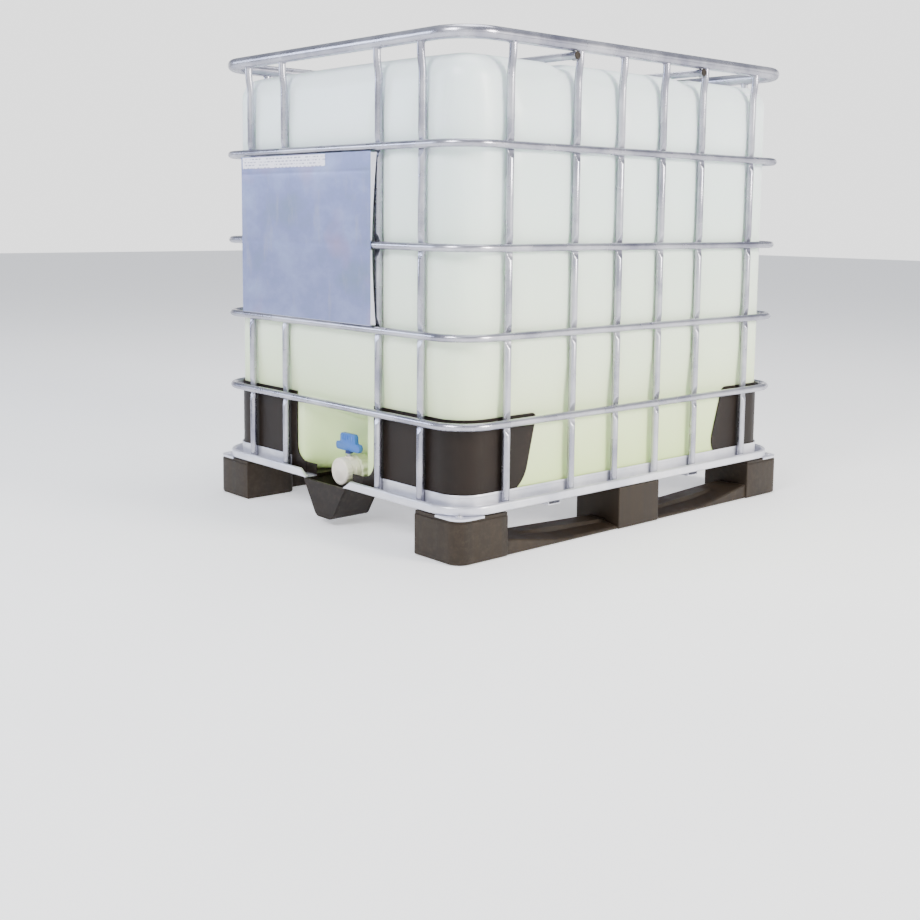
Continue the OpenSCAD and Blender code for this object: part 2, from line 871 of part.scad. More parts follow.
// Butterfly disc, closed: its edge is part of a sphere, so that it turns freely
module valve_disc() {
    color(cream) translate([0, -stem_y, outlet_z]) difference() {
        union() {
            intersection() {
                sphere(r = disc_r);
                cube([disc_reach, disc_t, disc_reach], center = true);
            }
            intersection() {
                sphere(r = disc_r);
                cylinder(r = hub_r, h = disc_reach, center = true);
            }
        }
        cylinder(r = stem_r + fit, h = disc_reach, center = true);
    }
}

module stem_seal() {
    color("black") translate([0, -stem_y, 0])
        ring(seal_r - eps, stem_r + fit, boss_top_z - 2.9, boss_top_z - 0.5);
}

module valve_handle() {
    y0 = -stem_y - grip_t / 2;
    y1 = -stem_y + grip_t / 2;
    color(blue) difference() {
        union() {
            along_y(y0, y1) translate([0, (wing_low + wing_top) / 2])
                rounded_rect(2 * wing_half, wing_top - wing_low, grip_corner_r);
            along_y(y0, y1) translate([0, (wing_low + grip_top) / 2])
                rounded_rect(2 * grip_half, grip_top - wing_low, grip_corner_r);
            translate([0, -stem_y, handle_low]) cylinder(r = lever_hub_r, h = wing_top - handle_low);
        }
        translate([0, -stem_y, handle_low - 1]) cylinder(r = stem_r + fit, h = socket_h + 1 + fit);
        translate([0, -stem_y, handle_low]) cylinder(r = lever_screw_r + fit, h = far);
        translate([0, -stem_y, wing_top]) cylinder(r = lever_screw_head_r + eps, h = far);
    }
}

module handle_screw() {
    color("silver") translate([0, -stem_y, 0]) {
        translate([0, 0, wing_top + fit]) cylinder(r = lever_screw_head_r, h = 3.5);
        translate([0, 0, handle_low + socket_h + fit])
            cylinder(r = lever_screw_r, h = wing_top - handle_low - socket_h + 1);
    }
}

module outlet_cap() {
    color(cream) difference() {
        union() {
            outlet_rod(cap_r, cap_back, cap_front);
            for (k = [1:cap_lugs]) translate([0, 0, outlet_z]) rotate([0, 360 * k / cap_lugs, 0])
                block([-1.5, -cap_front + 2, 0], [1.5, -cap_back, cap_r + cap_lug_h]);
        }
        outlet_rod(thread_r + 0.3, cap_back - 1, thread_front + 1.5);
        outlet_rod(cap_r - 8, cap_front - 1.5, cap_front + 1);
    }
}

module outlet_cap_gasket() {
    color("black") outlet_ring(28.8, 22, thread_front + fit, thread_front + 1.5 - fit);
}

// ---------- The parts ----------

foot(-foot_x, -foot_y);  // foot_front_left
foot(foot_x, -foot_y);  // foot_front_right
foot(-foot_x, foot_y);  // foot_rear_left
foot(foot_x, foot_y);  // foot_rear_right
foot(-foot_x, 0);  // foot_mid_left
foot(foot_x, 0);  // foot_mid_right
foot(0, foot_y);  // foot_rear_centre
foot(0, 0);  // foot_centre
drip_chute();
mirror([1, 0, 0]) runner_right_front();  // runner_front_left
runner_right_front();  // runner_front_right
rotate([0, 0, 180]) runner_right_front();  // runner_rear_left
mirror([0, 1, 0]) runner_right_front();  // runner_rear_right
long_beams();
cross_beams();
base_frame();
floor_pan();
corner_plates();
corner_screws();
frame_screws();
drip_liner();
mirror([1, 0, 0]) guard(guard_front_low_y, guard_front_top_y);  // guard_front_left
guard(guard_front_low_y, guard_front_top_y);  // guard_front_right
rotate([0, 0, 180]) guard(guard_rear_low_y, guard_rear_top_y);  // guard_rear_left
mirror([0, 1, 0]) guard(guard_rear_low_y, guard_rear_top_y);  // guard_rear_right
top_rim();
cage_ring(ring_1_z);  // cage_ring_1
cage_ring(ring_2_z);  // cage_ring_2
cage_ring(ring_3_z);  // cage_ring_3
cage_ring(ring_4_z);  // cage_ring_4
post_row(half_l - post_inset, front_places, -90);  // uprights_front
post_row(half_w - post_inset, side_places, 0);  // uprights_right
post_row(half_l - post_inset, front_places, 90);  // uprights_rear
post_row(half_w - post_inset, side_places, 180);  // uprights_left
top_bar(bar_front_y);  // top_bar_front
top_bar(bar_rear_y);  // top_bar_rear
top_bar_plugs();
top_bar_screws();
top_bar_inserts();
id_plate();
id_label();
bottle();
fill_lid();
fill_lid_gasket();
vent_plug();
vent_plug_gasket();
outlet_nut();
outlet_gasket();
valve_body();
valve_seat_ring();
valve_stem();
valve_disc();
stem_seal();
valve_handle();
handle_screw();
outlet_cap();
outlet_cap_gasket();
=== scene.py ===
"""Looks of an intermediate bulk container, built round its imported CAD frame.

Lengths inside the script are millimetres in the CAD's own frame (+Z up, outlet towards -Y);
Shape.make turns them into metres.
"""

import math

import bmesh
import bpy
import numpy as np
from mathutils import Matrix, Vector


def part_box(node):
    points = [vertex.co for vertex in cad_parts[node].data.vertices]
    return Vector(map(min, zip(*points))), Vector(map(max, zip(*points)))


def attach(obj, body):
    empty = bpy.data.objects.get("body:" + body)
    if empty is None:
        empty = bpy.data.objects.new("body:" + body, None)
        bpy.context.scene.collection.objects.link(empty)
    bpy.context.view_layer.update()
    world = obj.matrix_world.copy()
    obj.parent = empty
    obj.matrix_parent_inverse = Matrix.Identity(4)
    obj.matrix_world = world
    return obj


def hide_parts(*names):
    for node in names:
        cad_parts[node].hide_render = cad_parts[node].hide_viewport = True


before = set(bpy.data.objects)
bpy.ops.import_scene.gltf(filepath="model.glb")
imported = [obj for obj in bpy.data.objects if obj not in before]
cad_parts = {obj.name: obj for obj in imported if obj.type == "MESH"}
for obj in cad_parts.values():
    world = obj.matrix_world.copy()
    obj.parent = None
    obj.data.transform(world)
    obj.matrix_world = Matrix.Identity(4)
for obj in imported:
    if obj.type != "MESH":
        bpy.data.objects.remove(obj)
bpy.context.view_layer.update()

MM = 0.001
TAU = 2 * math.pi
SIGNS = (-1, 1)
CORNERS = [(1, -1), (1, 1), (-1, 1), (-1, -1)]


def span(node):
    """Lowest and highest corner of a CAD node in millimetres."""
    return tuple(tuple(float(c) / MM for c in corner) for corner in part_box(node))


def middle(node, axis):
    """Middle of a CAD node along x, y or z in millimetres."""
    low, high = span(node)
    return (low["xyz".index(axis)] + high["xyz".index(axis)]) / 2


# ---------- Driving sizes, read from the frame ----------

FRAME_LOW, FRAME_HIGH = span("base_frame")
HALF_W, HALF_L = FRAME_HIGH[0], FRAME_HIGH[1]
FOOT_H = FRAME_LOW[2]
RIM_LOW, RIM_HIGH = span("top_rim")
RIM_R = (RIM_HIGH[2] - RIM_LOW[2]) / 2
RIM_Z = RIM_HIGH[2] - RIM_R
RING_NODES = [f"cage_ring_{k}" for k in (1, 2, 3, 4)]
RING_Z = [middle(node, "z") for node in RING_NODES]
TUBE_R = (span("cage_ring_1")[1][2] - span("cage_ring_1")[0][2]) / 2
CAGE_BEND = 90
POST_INSET = 20
POSTS_FRONT = [-347, -192, 192, 347]
POSTS_SIDE = [-441, -230, -77, 77, 230, 441]
PAN_TOP = FOOT_H + 2
BOTTLE_HIGH = span("bottle")[1]
OUTLET_Z = middle("outlet_cap", "z")
STEM_Y = -middle("valve_stem", "y")

# ---------- Materials ----------


def noise(tree, coords, scale, detail=4.0, rough=0.55, stretch=(1, 1, 1)):
    mapping = tree.nodes.new("ShaderNodeMapping")
    mapping.inputs["Scale"].default_value = stretch
    tree.links.new(coords, mapping.inputs["Vector"])
    node = tree.nodes.new("ShaderNodeTexNoise")
    node.inputs["Scale"].default_value = scale
    node.inputs["Detail"].default_value = detail
    node.inputs["Roughness"].default_value = rough
    tree.links.new(mapping.outputs["Vector"], node.inputs["Vector"])
    return node.outputs["Fac"]


def ramp(tree, value, stops):
    """Colour ramp; stops are (place, (r, g, b))."""
    node = tree.nodes.new("ShaderNodeValToRGB")
    elements = node.color_ramp.elements
    while len(elements) < len(stops):
        elements.new(0.5)
    for element, (place, colour) in zip(elements, stops):
        element.position = place
        element.color = (*colour, 1)
    tree.links.new(value, node.inputs["Fac"])
    return node.outputs["Color"]


def mix(tree, factor, a, b, blend="MIX"):
    node = tree.nodes.new("ShaderNodeMix")
    node.data_type = "RGBA"
    node.blend_type = blend
    for socket, value in ((node.inputs["Factor"], factor), (node.inputs[6], a), (node.inputs[7], b)):
        if isinstance(value, (int, float)):
            socket.default_value = value
        elif isinstance(value, tuple):
            socket.default_value = (*value, 1)
        else:
            tree.links.new(value, socket)
    return node.outputs[2]


def map_range(tree, value, low, high, to_low, to_high):
    node = tree.nodes.new("ShaderNodeMapRange")
    for name, number in (("From Min", low), ("From Max", high), ("To Min", to_low), ("To Max", to_high)):
        node.inputs[name].default_value = number
    tree.links.new(value, node.inputs["Value"])
    return node.outputs["Result"]


def new_material(name, roughness, metallic=0.0):
    """An empty principled material: its tree, shader and object coordinates."""
    material = bpy.data.materials.new(name)
    material.use_nodes = True
    tree = material.node_tree
    shader = tree.nodes["Principled BSDF"]
    shader.inputs["Roughness"].default_value = roughness
    shader.inputs["Metallic"].default_value = metallic
    coords = tree.nodes.new("ShaderNodeTexCoord").outputs["Object"]
    return material, tree, shader, coords


def add_bump(tree, shader, heights):
    """Chains bumps; heights are (value, strength, distance in metres)."""
    normal = None
    for value, strength, distance in heights:
        node = tree.nodes.new("ShaderNodeBump")
        node.inputs["Strength"].default_value = strength
        node.inputs["Distance"].default_value = distance
        tree.links.new(value, node.inputs["Height"])
        if normal:
            tree.links.new(normal, node.inputs["Normal"])
        normal = node.outputs["Normal"]
    tree.links.new(normal, shader.inputs["Normal"])


def galvanised(name, light, dark, roughness=0.33, spangle=55.0, metallic=0.62):
    """Zinc-coated steel: crystal spangle, cloudy tone and fine drawing lines."""
    material, tree, shader, coords = new_material(name, roughness, metallic)
    cells = tree.nodes.new("ShaderNodeTexVoronoi")
    cells.inputs["Scale"].default_value = spangle
    tree.links.new(coords, cells.inputs["Vector"])
    cell_tone = map_range(tree, cells.outputs["Distance"], 0, 0.8, 0.0, 1.0)
    cloud = noise(tree, coords, 7, 5)
    base = ramp(tree, cloud, [(0.3, dark), (0.62, light)])
    toned = mix(tree, 0.16, base, ramp(tree, cell_tone, [(0, light), (1, dark)]), "MULTIPLY")
    grime = noise(tree, coords, 2.6, 6, 0.7)
    dusty = mix(tree, map_range(tree, grime, 0.55, 0.8, 0, 0.35), toned, tuple(0.62 * c for c in dark))
    tree.links.new(dusty, shader.inputs["Base Color"])
    tree.links.new(map_range(tree, cloud, 0.2, 0.8, roughness - 0.09, roughness + 0.13),
                   shader.inputs["Roughness"])
    fine = noise(tree, coords, 420, 2)
    add_bump(tree, shader, [(cells.outputs["Distance"], 0.06, 0.0006), (fine, 0.12, 0.0003)])
    return material


def moulded(name, light, dark, roughness=0.5, grain=900.0, wear=None, streak=(1, 1, 1), coat=0.0,
            specular=0.5):
    """Moulded plastic: faint flow marks, fine grain and paler scuffs on the edges."""
    material, tree, shader, coords = new_material(name, roughness)
    flow = noise(tree, coords, 9, 5, 0.6, streak)
    base = ramp(tree, flow, [(0.32, dark), (0.68, light)])
    if wear:
        geometry = tree.nodes.new("ShaderNodeNewGeometry")
        edge = map_range(tree, geometry.outputs["Pointiness"], 0.52, 0.62, 0, 1)
        patchy = noise(tree, coords, 60, 4, 0.7)
        scuffs = mix(tree, map_range(tree, patchy, 0.45, 0.7, 0, 0.7), base, wear)
        base = mix(tree, edge, base, scuffs)
        scratches = noise(tree, coords, 26, 3, 0.8, (1, 1, 9))
        base = mix(tree, map_range(tree, scratches, 0.66, 0.8, 0, 0.3), base, wear)
    tree.links.new(base, shader.inputs["Base Color"])
    tree.links.new(map_range(tree, flow, 0.2, 0.8, roughness - 0.08, roughness + 0.1),
                   shader.inputs["Roughness"])
    shader.inputs["Specular IOR Level"].default_value = specular
    shader.inputs["Coat Weight"].default_value = coat
    shader.inputs["Coat Roughness"].default_value = 0.25
    fine = noise(tree, coords, grain, 3, 0.6)
    add_bump(tree, shader, [(fine, 0.15, 0.0003), (flow, 0.1, 0.002)])
    return material


def bottle_plastic():
    """Milky blown polyethylene: whiter above, warmer and greener towards the floor."""
    material, tree, shader, coords = new_material("bottle_plastic", 0.34)
    parts = tree.nodes.new("ShaderNodeSeparateXYZ")
    tree.links.new(coords, parts.inputs["Vector"])
    height = map_range(tree, parts.outputs["Z"], 0.1, 1.12, 0, 1)
    tint = ramp(tree, height, [(0.0, (0.66, 0.84, 0.32)), (0.14, (0.76, 0.90, 0.48)),
                               (0.38, (0.82, 0.93, 0.74)), (0.7, (0.82, 0.94, 0.90)),
                               (1.0, (0.86, 0.95, 0.98))])
    cloud = noise(tree, coords, 2.4, 4, 0.5, (1, 1, 0.6))
    veil = ramp(tree, cloud, [(0.3, (0.88, 0.92, 0.90)), (0.7, (1, 1, 1))])
    tree.links.new(mix(tree, 0.5, tint, veil, "MULTIPLY"), shader.inputs["Base Color"])
    shader.inputs["Subsurface Weight"].default_value = 0.35
    shader.inputs["Subsurface Radius"].default_value = (0.03, 0.04, 0.03)
    shader.inputs["Subsurface Scale"].default_value = 0.6
    shader.inputs["Coat Weight"].default_value = 0.12
    shader.inputs["Coat Roughness"].default_value = 0.3
    ripple = noise(tree, coords, 16, 3, 0.5, (1, 1, 0.35))
    fine = noise(tree, coords, 300, 3)
    add_bump(tree, shader, [(ripple, 0.25, 0.003), (fine, 0.1, 0.0003)])
    return material


def plate_steel():
    """Flat zinc-coated sheet with faint pressed lines and wiped streaks."""
    material, tree, shader, coords = new_material("plate_steel", 0.42, 0.55)
    cloud = noise(tree, coords, 6, 5, 0.6, (1, 1, 1.6))
    smear = noise(tree, coords, 13, 5, 0.7, (2.2, 1, 0.6))
    base = ramp(tree, cloud, [(0.28, (0.18, 0.23, 0.33)), (0.5, (0.21, 0.24, 0.44)),
                              (0.75, (0.30, 0.35, 0.56))])
    base = mix(tree, map_range(tree, smear, 0.55, 0.75, 0, 0.45), base, (0.38, 0.39, 0.42))
    blush = noise(tree, coords, 4.2, 3, 0.5)
    base = mix(tree, map_range(tree, blush, 0.58, 0.72, 0, 0.4), base, (0.46, 0.28, 0.38))
    tree.links.new(base, shader.inputs["Base Color"])
    tree.links.new(map_range(tree, smear, 0.3, 0.8, 0.34, 0.52), shader.inputs["Roughness"])
    fine = noise(tree, coords, 260, 2)
    add_bump(tree, shader, [(cloud, 0.2, 0.002), (fine, 0.12, 0.0003)])
    return material


def label_film():
    """White film with rows of plain grey marks that stand for print."""
    material, tree, shader, coords = new_material("label_film", 0.4)
    rows = tree.nodes.new("ShaderNodeTexBrick")
    rows.inputs["Scale"].default_value = 1.0
    rows.inputs["Brick Width"].default_value = 0.016
    rows.inputs["Row Height"].default_value = 0.0075
    rows.inputs["Mortar Size"].default_value = 0.0024
    turn = tree.nodes.new("ShaderNodeMapping")
    turn.inputs["Rotation"].default_value = (math.radians(90), 0, 0)
    tree.links.new(coords, turn.inputs["Vector"])
    tree.links.new(turn.outputs["Vector"], rows.inputs["Vector"])
    worn = noise(tree, coords, 90, 2, 0.5, (1, 1, 0.6))
    marks = map_range(tree, rows.outputs["Fac"], 0.4, 0.6, 1, 0)
    shown = tree.nodes.new("ShaderNodeMath")
    shown.operation = "MULTIPLY"
    tree.links.new(marks, shown.inputs[0])
    tree.links.new(map_range(tree, worn, 0.42, 0.5, 0, 0.8), shown.inputs[1])
    base = mix(tree, shown.outputs["Value"], (0.86, 0.86, 0.95), (0.22, 0.22, 0.36))
    tree.links.new(base, shader.inputs["Base Color"])
    add_bump(tree, shader, [(worn, 0.05, 0.0003)])
    return material


STEEL = galvanised("galvanised_tube", (0.57, 0.57, 0.62), (0.24, 0.24, 0.31), 0.25, 55.0, 0.85)
SHEET = galvanised("galvanised_sheet", (0.84, 0.84, 0.88), (0.56, 0.57, 0.66), 0.34, 38.0, 0.6)
SCREW = galvanised("zinc_screw", (0.66, 0.66, 0.68), (0.36, 0.36, 0.40), 0.3, 200.0)
BLACK = moulded("black_moulding", (0.026, 0.0165, 0.0085), (0.0120, 0.0076, 0.0042), 0.55, 900.0,
                (0.060, 0.044, 0.028), (3, 3, 0.22), 0.0, 0.3)
GUARD = moulded("black_protector", (0.0130, 0.0074, 0.0046), (0.0062, 0.0034, 0.0022), 0.45, 700.0,
                (0.034, 0.023, 0.016), (1, 1, 0.5), 0.0, 0.22)
LID = moulded("black_lid", (0.0085, 0.0085, 0.0090), (0.0050, 0.0050, 0.0055), 0.42, 800.0, (0.04, 0.04, 0.04),
              (1, 1, 1), 0.0, 0.3)
CREAM = moulded("cream_moulding", (0.97, 0.90, 0.78), (0.88, 0.80, 0.67), 0.42, 900.0, None, (1, 1, 1), 0.15)
NATURAL = moulded("natural_moulding", (0.78, 0.80, 0.60), (0.66, 0.70, 0.46), 0.42, 900.0)
BLUE = moulded("blue_moulding", (0.020, 0.135, 0.50), (0.012, 0.090, 0.36), 0.36, 800.0,
               (0.12, 0.30, 0.66), (1, 1, 1), 0.2)
NAVY = moulded("navy_moulding", (0.010, 0.030, 0.16), (0.006, 0.020, 0.11), 0.4, 800.0)
RUBBER = moulded("seal_rubber", (0.03, 0.03, 0.03), (0.018, 0.018, 0.018), 0.7, 1400.0)
BOTTLE = bottle_plastic()
PLATE = plate_steel()
LABEL = label_film()

# ---------- Mesh building ----------


class Shape:
    """Collects closed surfaces, in millimetres, and makes one mesh piece of them."""

    def __init__(self):
        self.verts = []
        self.faces = []

    def add(self, verts, faces):
        base = len(self.verts)
        self.verts.extend(tuple(float(c) for c in v) for v in verts)
        self.faces.extend(tuple(base + i for i in f) for f in faces)
        return self

    def loft(self, rings, closed_path=False, caps=True):
        """Skins rings of equal point counts; each ring is a closed loop."""
        count = len(rings[0])
        verts = [p for ring in rings for p in ring]
        faces = []
        steps = len(rings) if closed_path else len(rings) - 1
        for i in range(steps):
            a, b = i * count, (i + 1) % len(rings) * count
            for k in range(count):
                k2 = (k + 1) % count
                faces.append((a + k, a + k2, b + k2, b + k))
        if caps and not closed_path:
            faces.append(tuple(range(count))[::-1])
            faces.append(tuple(len(verts) - count + k for k in range(count)))
        return self.add(verts, faces)

    def lathe(self, profile, centre, axis="z", sides=48, radius_at=None):
        """Turns (radius, along) points round an axis; a closed profile gives a ring."""
        rings = []
        for k in range(sides):
            t = TAU * k / sides
            ring = []
            for r, h in profile:
                if radius_at:
                    r = radius_at(r, h, t)
                c, s = r * math.cos(t), r * math.sin(t)
                local = {"z": (c, s, h), "y": (c, -h, s), "x": (h, c, s)}[axis]
                ring.append(tuple(a + b for a, b in zip(centre, local)))
            rings.append(ring)
        return self.loft(rings, closed_path=True)

    def box(self, low, high, round_edge=0.0):
        """A block; round_edge cuts its vertical and horizontal edges back a little."""
        e = round_edge
        outline = [(low[0] + e, low[1]), (high[0] - e, low[1]), (high[0], low[1] + e), (high[0], high[1] - e),
                   (high[0] - e, high[1]), (low[0] + e, high[1]), (low[0], high[1] - e), (low[0], low[1] + e)]
        plan = [((low[i] + high[i]) / 2, (high[i] - low[i]) / 2) for i in (0, 1)]

        def ring(z, shrink):
            return [(*(mid + (c - mid) * (1 - shrink / half) for c, (mid, half) in zip(point, plan)), z)
                    for point in outline]
        if e:
            return self.loft([ring(low[2], e), ring(low[2] + e, 0), ring(high[2] - e, 0), ring(high[2], e)])
        return self.loft([[(x, y, z) for x, y in outline[::2]] for z in (low[2], high[2])])

    def make(self, name, material, slot, replaces=(), body="container", sharp=38.0):
        """One mesh object; edges sharper than that many degrees stay crisp."""
        mesh = bpy.data.meshes.new(name)
        mesh.from_pydata([tuple(c * MM for c in v) for v in self.verts], [], self.faces)
        work = bmesh.new()
        work.from_mesh(mesh)
        bmesh.ops.remove_doubles(work, verts=work.verts, dist=2e-6)
        bmesh.ops.recalc_face_normals(work, faces=work.faces)
        for face in work.faces:
            face.smooth = True
        for edge in work.edges:
            edge.smooth = edge.is_manifold and edge.calc_face_angle(0) < math.radians(sharp)
        work.to_mesh(mesh)
        work.free()
        mesh.materials.append(material)
        obj = bpy.data.objects.new(name, mesh)
        bpy.context.scene.collection.objects.link(obj)
        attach(obj, body)
        if replaces:
            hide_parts(*replaces)


def circle(count, radius, turn=0.0):
    return [(radius * math.cos(turn + TAU * k / count), radius * math.sin(turn + TAU * k / count))
            for k in range(count)]


def loop_path(hw, hl, r, gap=0.0, corner=12):
    """Points (x, y, nx, ny) round a rounded rectangle from (gap, -hl), the +X way, to (-gap, -hl)."""
    path = [(gap, -hl, 0, -1)] if gap else []
    for quarter, (sx, sy) in enumerate(CORNERS):
        cx, cy = sx * (hw - r), sy * (hl - r)
        start = math.radians(-90 + 90 * quarter)
        for k in range(corner + 1):
            t = start + math.pi / 2 * k / corner
            path.append((cx + r * math.cos(t), cy + r * math.sin(t), math.cos(t), math.sin(t)))
    if gap:
        path.append((-gap, -hl, 0, -1))
    return path


def carry(path, section):
    """Rings of a section of (outwards, height) points carried along a path."""
    return [[(x + nx * a, y + ny * a, z) for a, z in section] for x, y, nx, ny in path]


def tube_loop(shape, hw, hl, r, z, radius, sides=20, corner=16):
    section = [(a, z + b) for a, b in circle(sides, radius)]
    return shape.loft(carry(loop_path(hw, hl, r, 0, corner), section), closed_path=True)


# ---------- Cage ----------

DIMPLE_R = 60.0
WELD_R = 8.6
BEND_R = 150.0
BEND_OUT = POST_INSET - RIM_R
BEND_ANGLE = math.acos(1 - BEND_OUT / (2 * BEND_R))
BEND_H = 2 * BEND_R * math.sin(BEND_ANGLE)
BEND_TOP = RIM_Z - RIM_R - 12
DIMPLE_DEPTH = 2 * TUBE_R - (POST_INSET - TUBE_R) + 0.2


def bend_at(z):
    """How far outwards an upright has moved at height z, in its double bend."""
    rise = z - (BEND_TOP - BEND_H)
    if rise <= 0:
        return 0.0
    if rise >= BEND_H:
        return BEND_OUT
    if rise < BEND_H / 2:
        return BEND_R - math.sqrt(BEND_R ** 2 - rise ** 2)
    return BEND_OUT - BEND_R + math.sqrt(BEND_R ** 2 - (BEND_H - rise) ** 2)


def flat_limit(z):
    """How far out the pressed flats behind the rings let the upright's side reach."""
    limit = TUBE_R
    for ring_z in RING_Z:
        if abs(z - ring_z) < DIMPLE_R:
            rise = DIMPLE_R - math.sqrt(DIMPLE_R ** 2 - (z - ring_z) ** 2)
            limit = min(limit, TUBE_R - DIMPLE_DEPTH + rise)
    return limit


def post_levels():
    levels = {PAN_TOP + 0.5, RIM_Z - RIM_R + 3}
    flat_half = math.sqrt(DIMPLE_R ** 2 - (DIMPLE_R - DIMPLE_DEPTH) ** 2)
    for ring_z in RING_Z:
        levels.update(ring_z + flat_half * k / 9 for k in range(-9, 10))
    levels.update(BEND_TOP - BEND_H + BEND_H * k / 8 for k in range(9))
    return sorted(levels)


def post_rings(sides=20):
    """Sections of an upright as (outwards, sideways, height), its tube's middle at 0."""
    rings = []
    for z in post_levels():
        limit, shift, ring = flat_limit(z), bend_at(z), []
        pressed = (TUBE_R - limit) / DIMPLE_DEPTH
        for a, b in circle(sides, TUBE_R):
            if a > limit:
                a = limit - 1.1 * pressed * (1 - (b / TUBE_R) ** 2)
            ring.append((a + shift, b * (1 + 0.07 * pressed), z))
        rings.append(ring)
    return rings


SIDES = {
    "front": (HALF_L - POST_INSET, POSTS_FRONT, (0, -1)),
    "right": (HALF_W - POST_INSET, POSTS_SIDE, (1, 0)),
    "rear": (HALF_L - POST_INSET, POSTS_FRONT, (0, 1)),
    "left": (HALF_W - POST_INSET, POSTS_SIDE, (-1, 0)),
}


def on_side(side, out, along, z):
    """Point at a distance out from the middle and a place along a side."""
    nx, ny = SIDES[side][2]
    return (nx * out - ny * along, ny * out + nx * along, z)


def place_along(side, place):
    """A place on a side, whatever way the side's own direction runs."""
    nx, ny = SIDES[side][2]
    return place * (-ny if ny else nx)


def uprights():
    sections = post_rings()
    for side, (out, places, _) in SIDES.items():
        shape = Shape()
        for place in places:
            along = place_along(side, place)
            shape.loft([[on_side(side, out + a, along + b, z) for a, b, z in ring] for ring in sections])
        shape.make(f"posts_{side}", STEEL, "galvanised_steel", replaces=[f"uprights_{side}"])


def nugget(shape, centre, out, size):
    """A small uneven weld bead; size is (outwards, sideways, height)."""
    nx, ny = out
    rings = []
    for i in range(1, 6):
        t = math.pi * i / 6
        rings.append([(centre[0] + nx * size[0] * a - ny * size[1] * b,
                       centre[1] + ny * size[0] * a + nx * size[1] * b, centre[2] - size[2] * math.cos(t))
                      for a, b in circle(9, math.sin(t), 0.3 * i)])
    shape.loft(rings)


def welds():
    """Pressed spot welds at the crossings, beads at both ends of each upright."""
    shape = Shape()
    for side, (out, places, normal) in SIDES.items():
        for k, place in enumerate(places):
            along = place_along(side, place)
            for j, ring_z in enumerate(RING_Z):
                uneven = 1 + 0.18 * math.sin(5.1 * k + 2.3 * j)
                for up in SIGNS:
                    where = on_side(side, out + TUBE_R - DIMPLE_DEPTH + 1.2, along, ring_z + 5.6 * up)
                    nugget(shape, where, normal, (2.2, 5.0 * uneven, 2.4 * uneven))
            for angle in range(0, 360, 45):
                a, b = (WELD_R * f(math.radians(angle)) for f in (math.cos, math.sin))
                top = on_side(side, out + BEND_OUT + a, along + b, RIM_Z - math.sqrt(RIM_R ** 2 - a * a) - 0.4)
                nugget(shape, top, normal, (2.6, 3.2, 1.7))
                foot = on_side(side, out + a * 0.98, along + b, PAN_TOP + 1.0)
                nugget(shape, foot, normal, (2.0, 3.0, 1.8))
    shape.make("cage_welds", STEEL, "galvanised_steel")


def rings_and_rim():
    for node, z in zip(RING_NODES, RING_Z):
        shape = tube_loop(Shape(), HALF_W - TUBE_R, HALF_L - TUBE_R, CAGE_BEND, z, TUBE_R)
        shape.make(node.replace("cage_ring", "ring_tube"), STEEL, "galvanised_steel", replaces=[node])
    shape = tube_loop(Shape(), HALF_W - RIM_R, HALF_L - RIM_R, CAGE_BEND, RIM_Z, RIM_R, 32, 20)
    # Butt weld of the rim tube, on the rear
    bead = [(RIM_R + rise, along) for rise, along in ((-1, -2.2), (0.5, -1.4), (0.9, 0), (0.5, 1.4), (-1, 2.2))]
    shape.lathe(bead, (90, HALF_L - RIM_R, RIM_Z), "x", 32)
    shape.make("rim_tube", STEEL, "galvanised_steel", replaces=["top_rim"])


def hex_screw(shape, x, y, z, r, h, up=1):
    """Domed screw head with a six-sided socket, standing on z and pointing up or down."""
    sides, rings = 24, []

    def ring(radius, height, hexagonal=False):
        points = []
        for k in range(sides):
            t = TAU * k / sides
            reach = radius
            if hexagonal:
                reach = radius * math.cos(math.pi / 6) / math.cos((t % (math.pi / 3)) - math.pi / 6)
            points.append((x + reach * math.cos(t), y + reach * math.sin(t), z + up * height))
        return points
    for wide, tall in ((0.6, 0), (0.97, 0), (1, 0.25), (0.93, 0.62), (0.76, 0.88), (0.6, 0.98)):
        rings.append(ring(wide * r, tall * h))
    rings += [ring(r * 0.46, h, True), ring(r * 0.44, 0.35 * h, True)]
    shape.loft(rings if up > 0 else [list(reversed(q)) for q in rings])


def top_bars():
    bar_low, bar_high = span("top_bar_front")
    z = (bar_low[2] + bar_high[2]) / 2
    reach = bar_high[0]
    plugs, screws = Shape(), Shape()
    for node in ("top_bar_front", "top_bar_rear"):
        y = middle(node, "y")
        bar = Shape()
        end = [(TUBE_R - 1.5, 0), (TUBE_R - 0.4, 0), (TUBE_R, 0.6)]
        tube = [(r, back - reach) for r, back in end] + [(r, reach - back) for r, back in end[::-1]]
        bar.lathe(tube, (0, y, z), "x", 28)
        bar.make(node.replace("top_bar", "cross_tube"), STEEL, "galvanised_steel", replaces=[node])
        for s in SIGNS:
            plug = [(0.4, -4), (TUBE_R - 1.6, -4), (TUBE_R - 1.6, 0.1), (TUBE_R - 0.1, 0.2), (TUBE_R, 1.2),
                    (TUBE_R - 1.2, 2.9), (TUBE_R * 0.55, 3), (TUBE_R * 0.5, 2.3), (0.4, 2.2)]
            plugs.lathe([(r, s * (reach + out)) for r, out in plug], (0, y, z), "x", 28)
            hex_screw(screws, s * (HALF_W - RIM_R), y, z - TUBE_R - 0.2, HEAD_R, HEAD_H, -1)
    plugs.make("tube_plugs", BLACK, "black_plastic", replaces=["top_bar_plugs"])
    screws.make("bar_screw_heads", SCREW, "galvanised_steel", replaces=["top_bar_screws"])


# ---------- Tray frame ----------

HEAD_R, HEAD_H = 5.5, 2.8
EAR_REACH = 106 * math.cos(math.radians(45)) - 100
EAR_X, EAR_Y = HALF_W + EAR_REACH, HALF_L + EAR_REACH
EAR_R, EAR_HOLE_R, EAR_T = 9.0, 3.2, 2.0

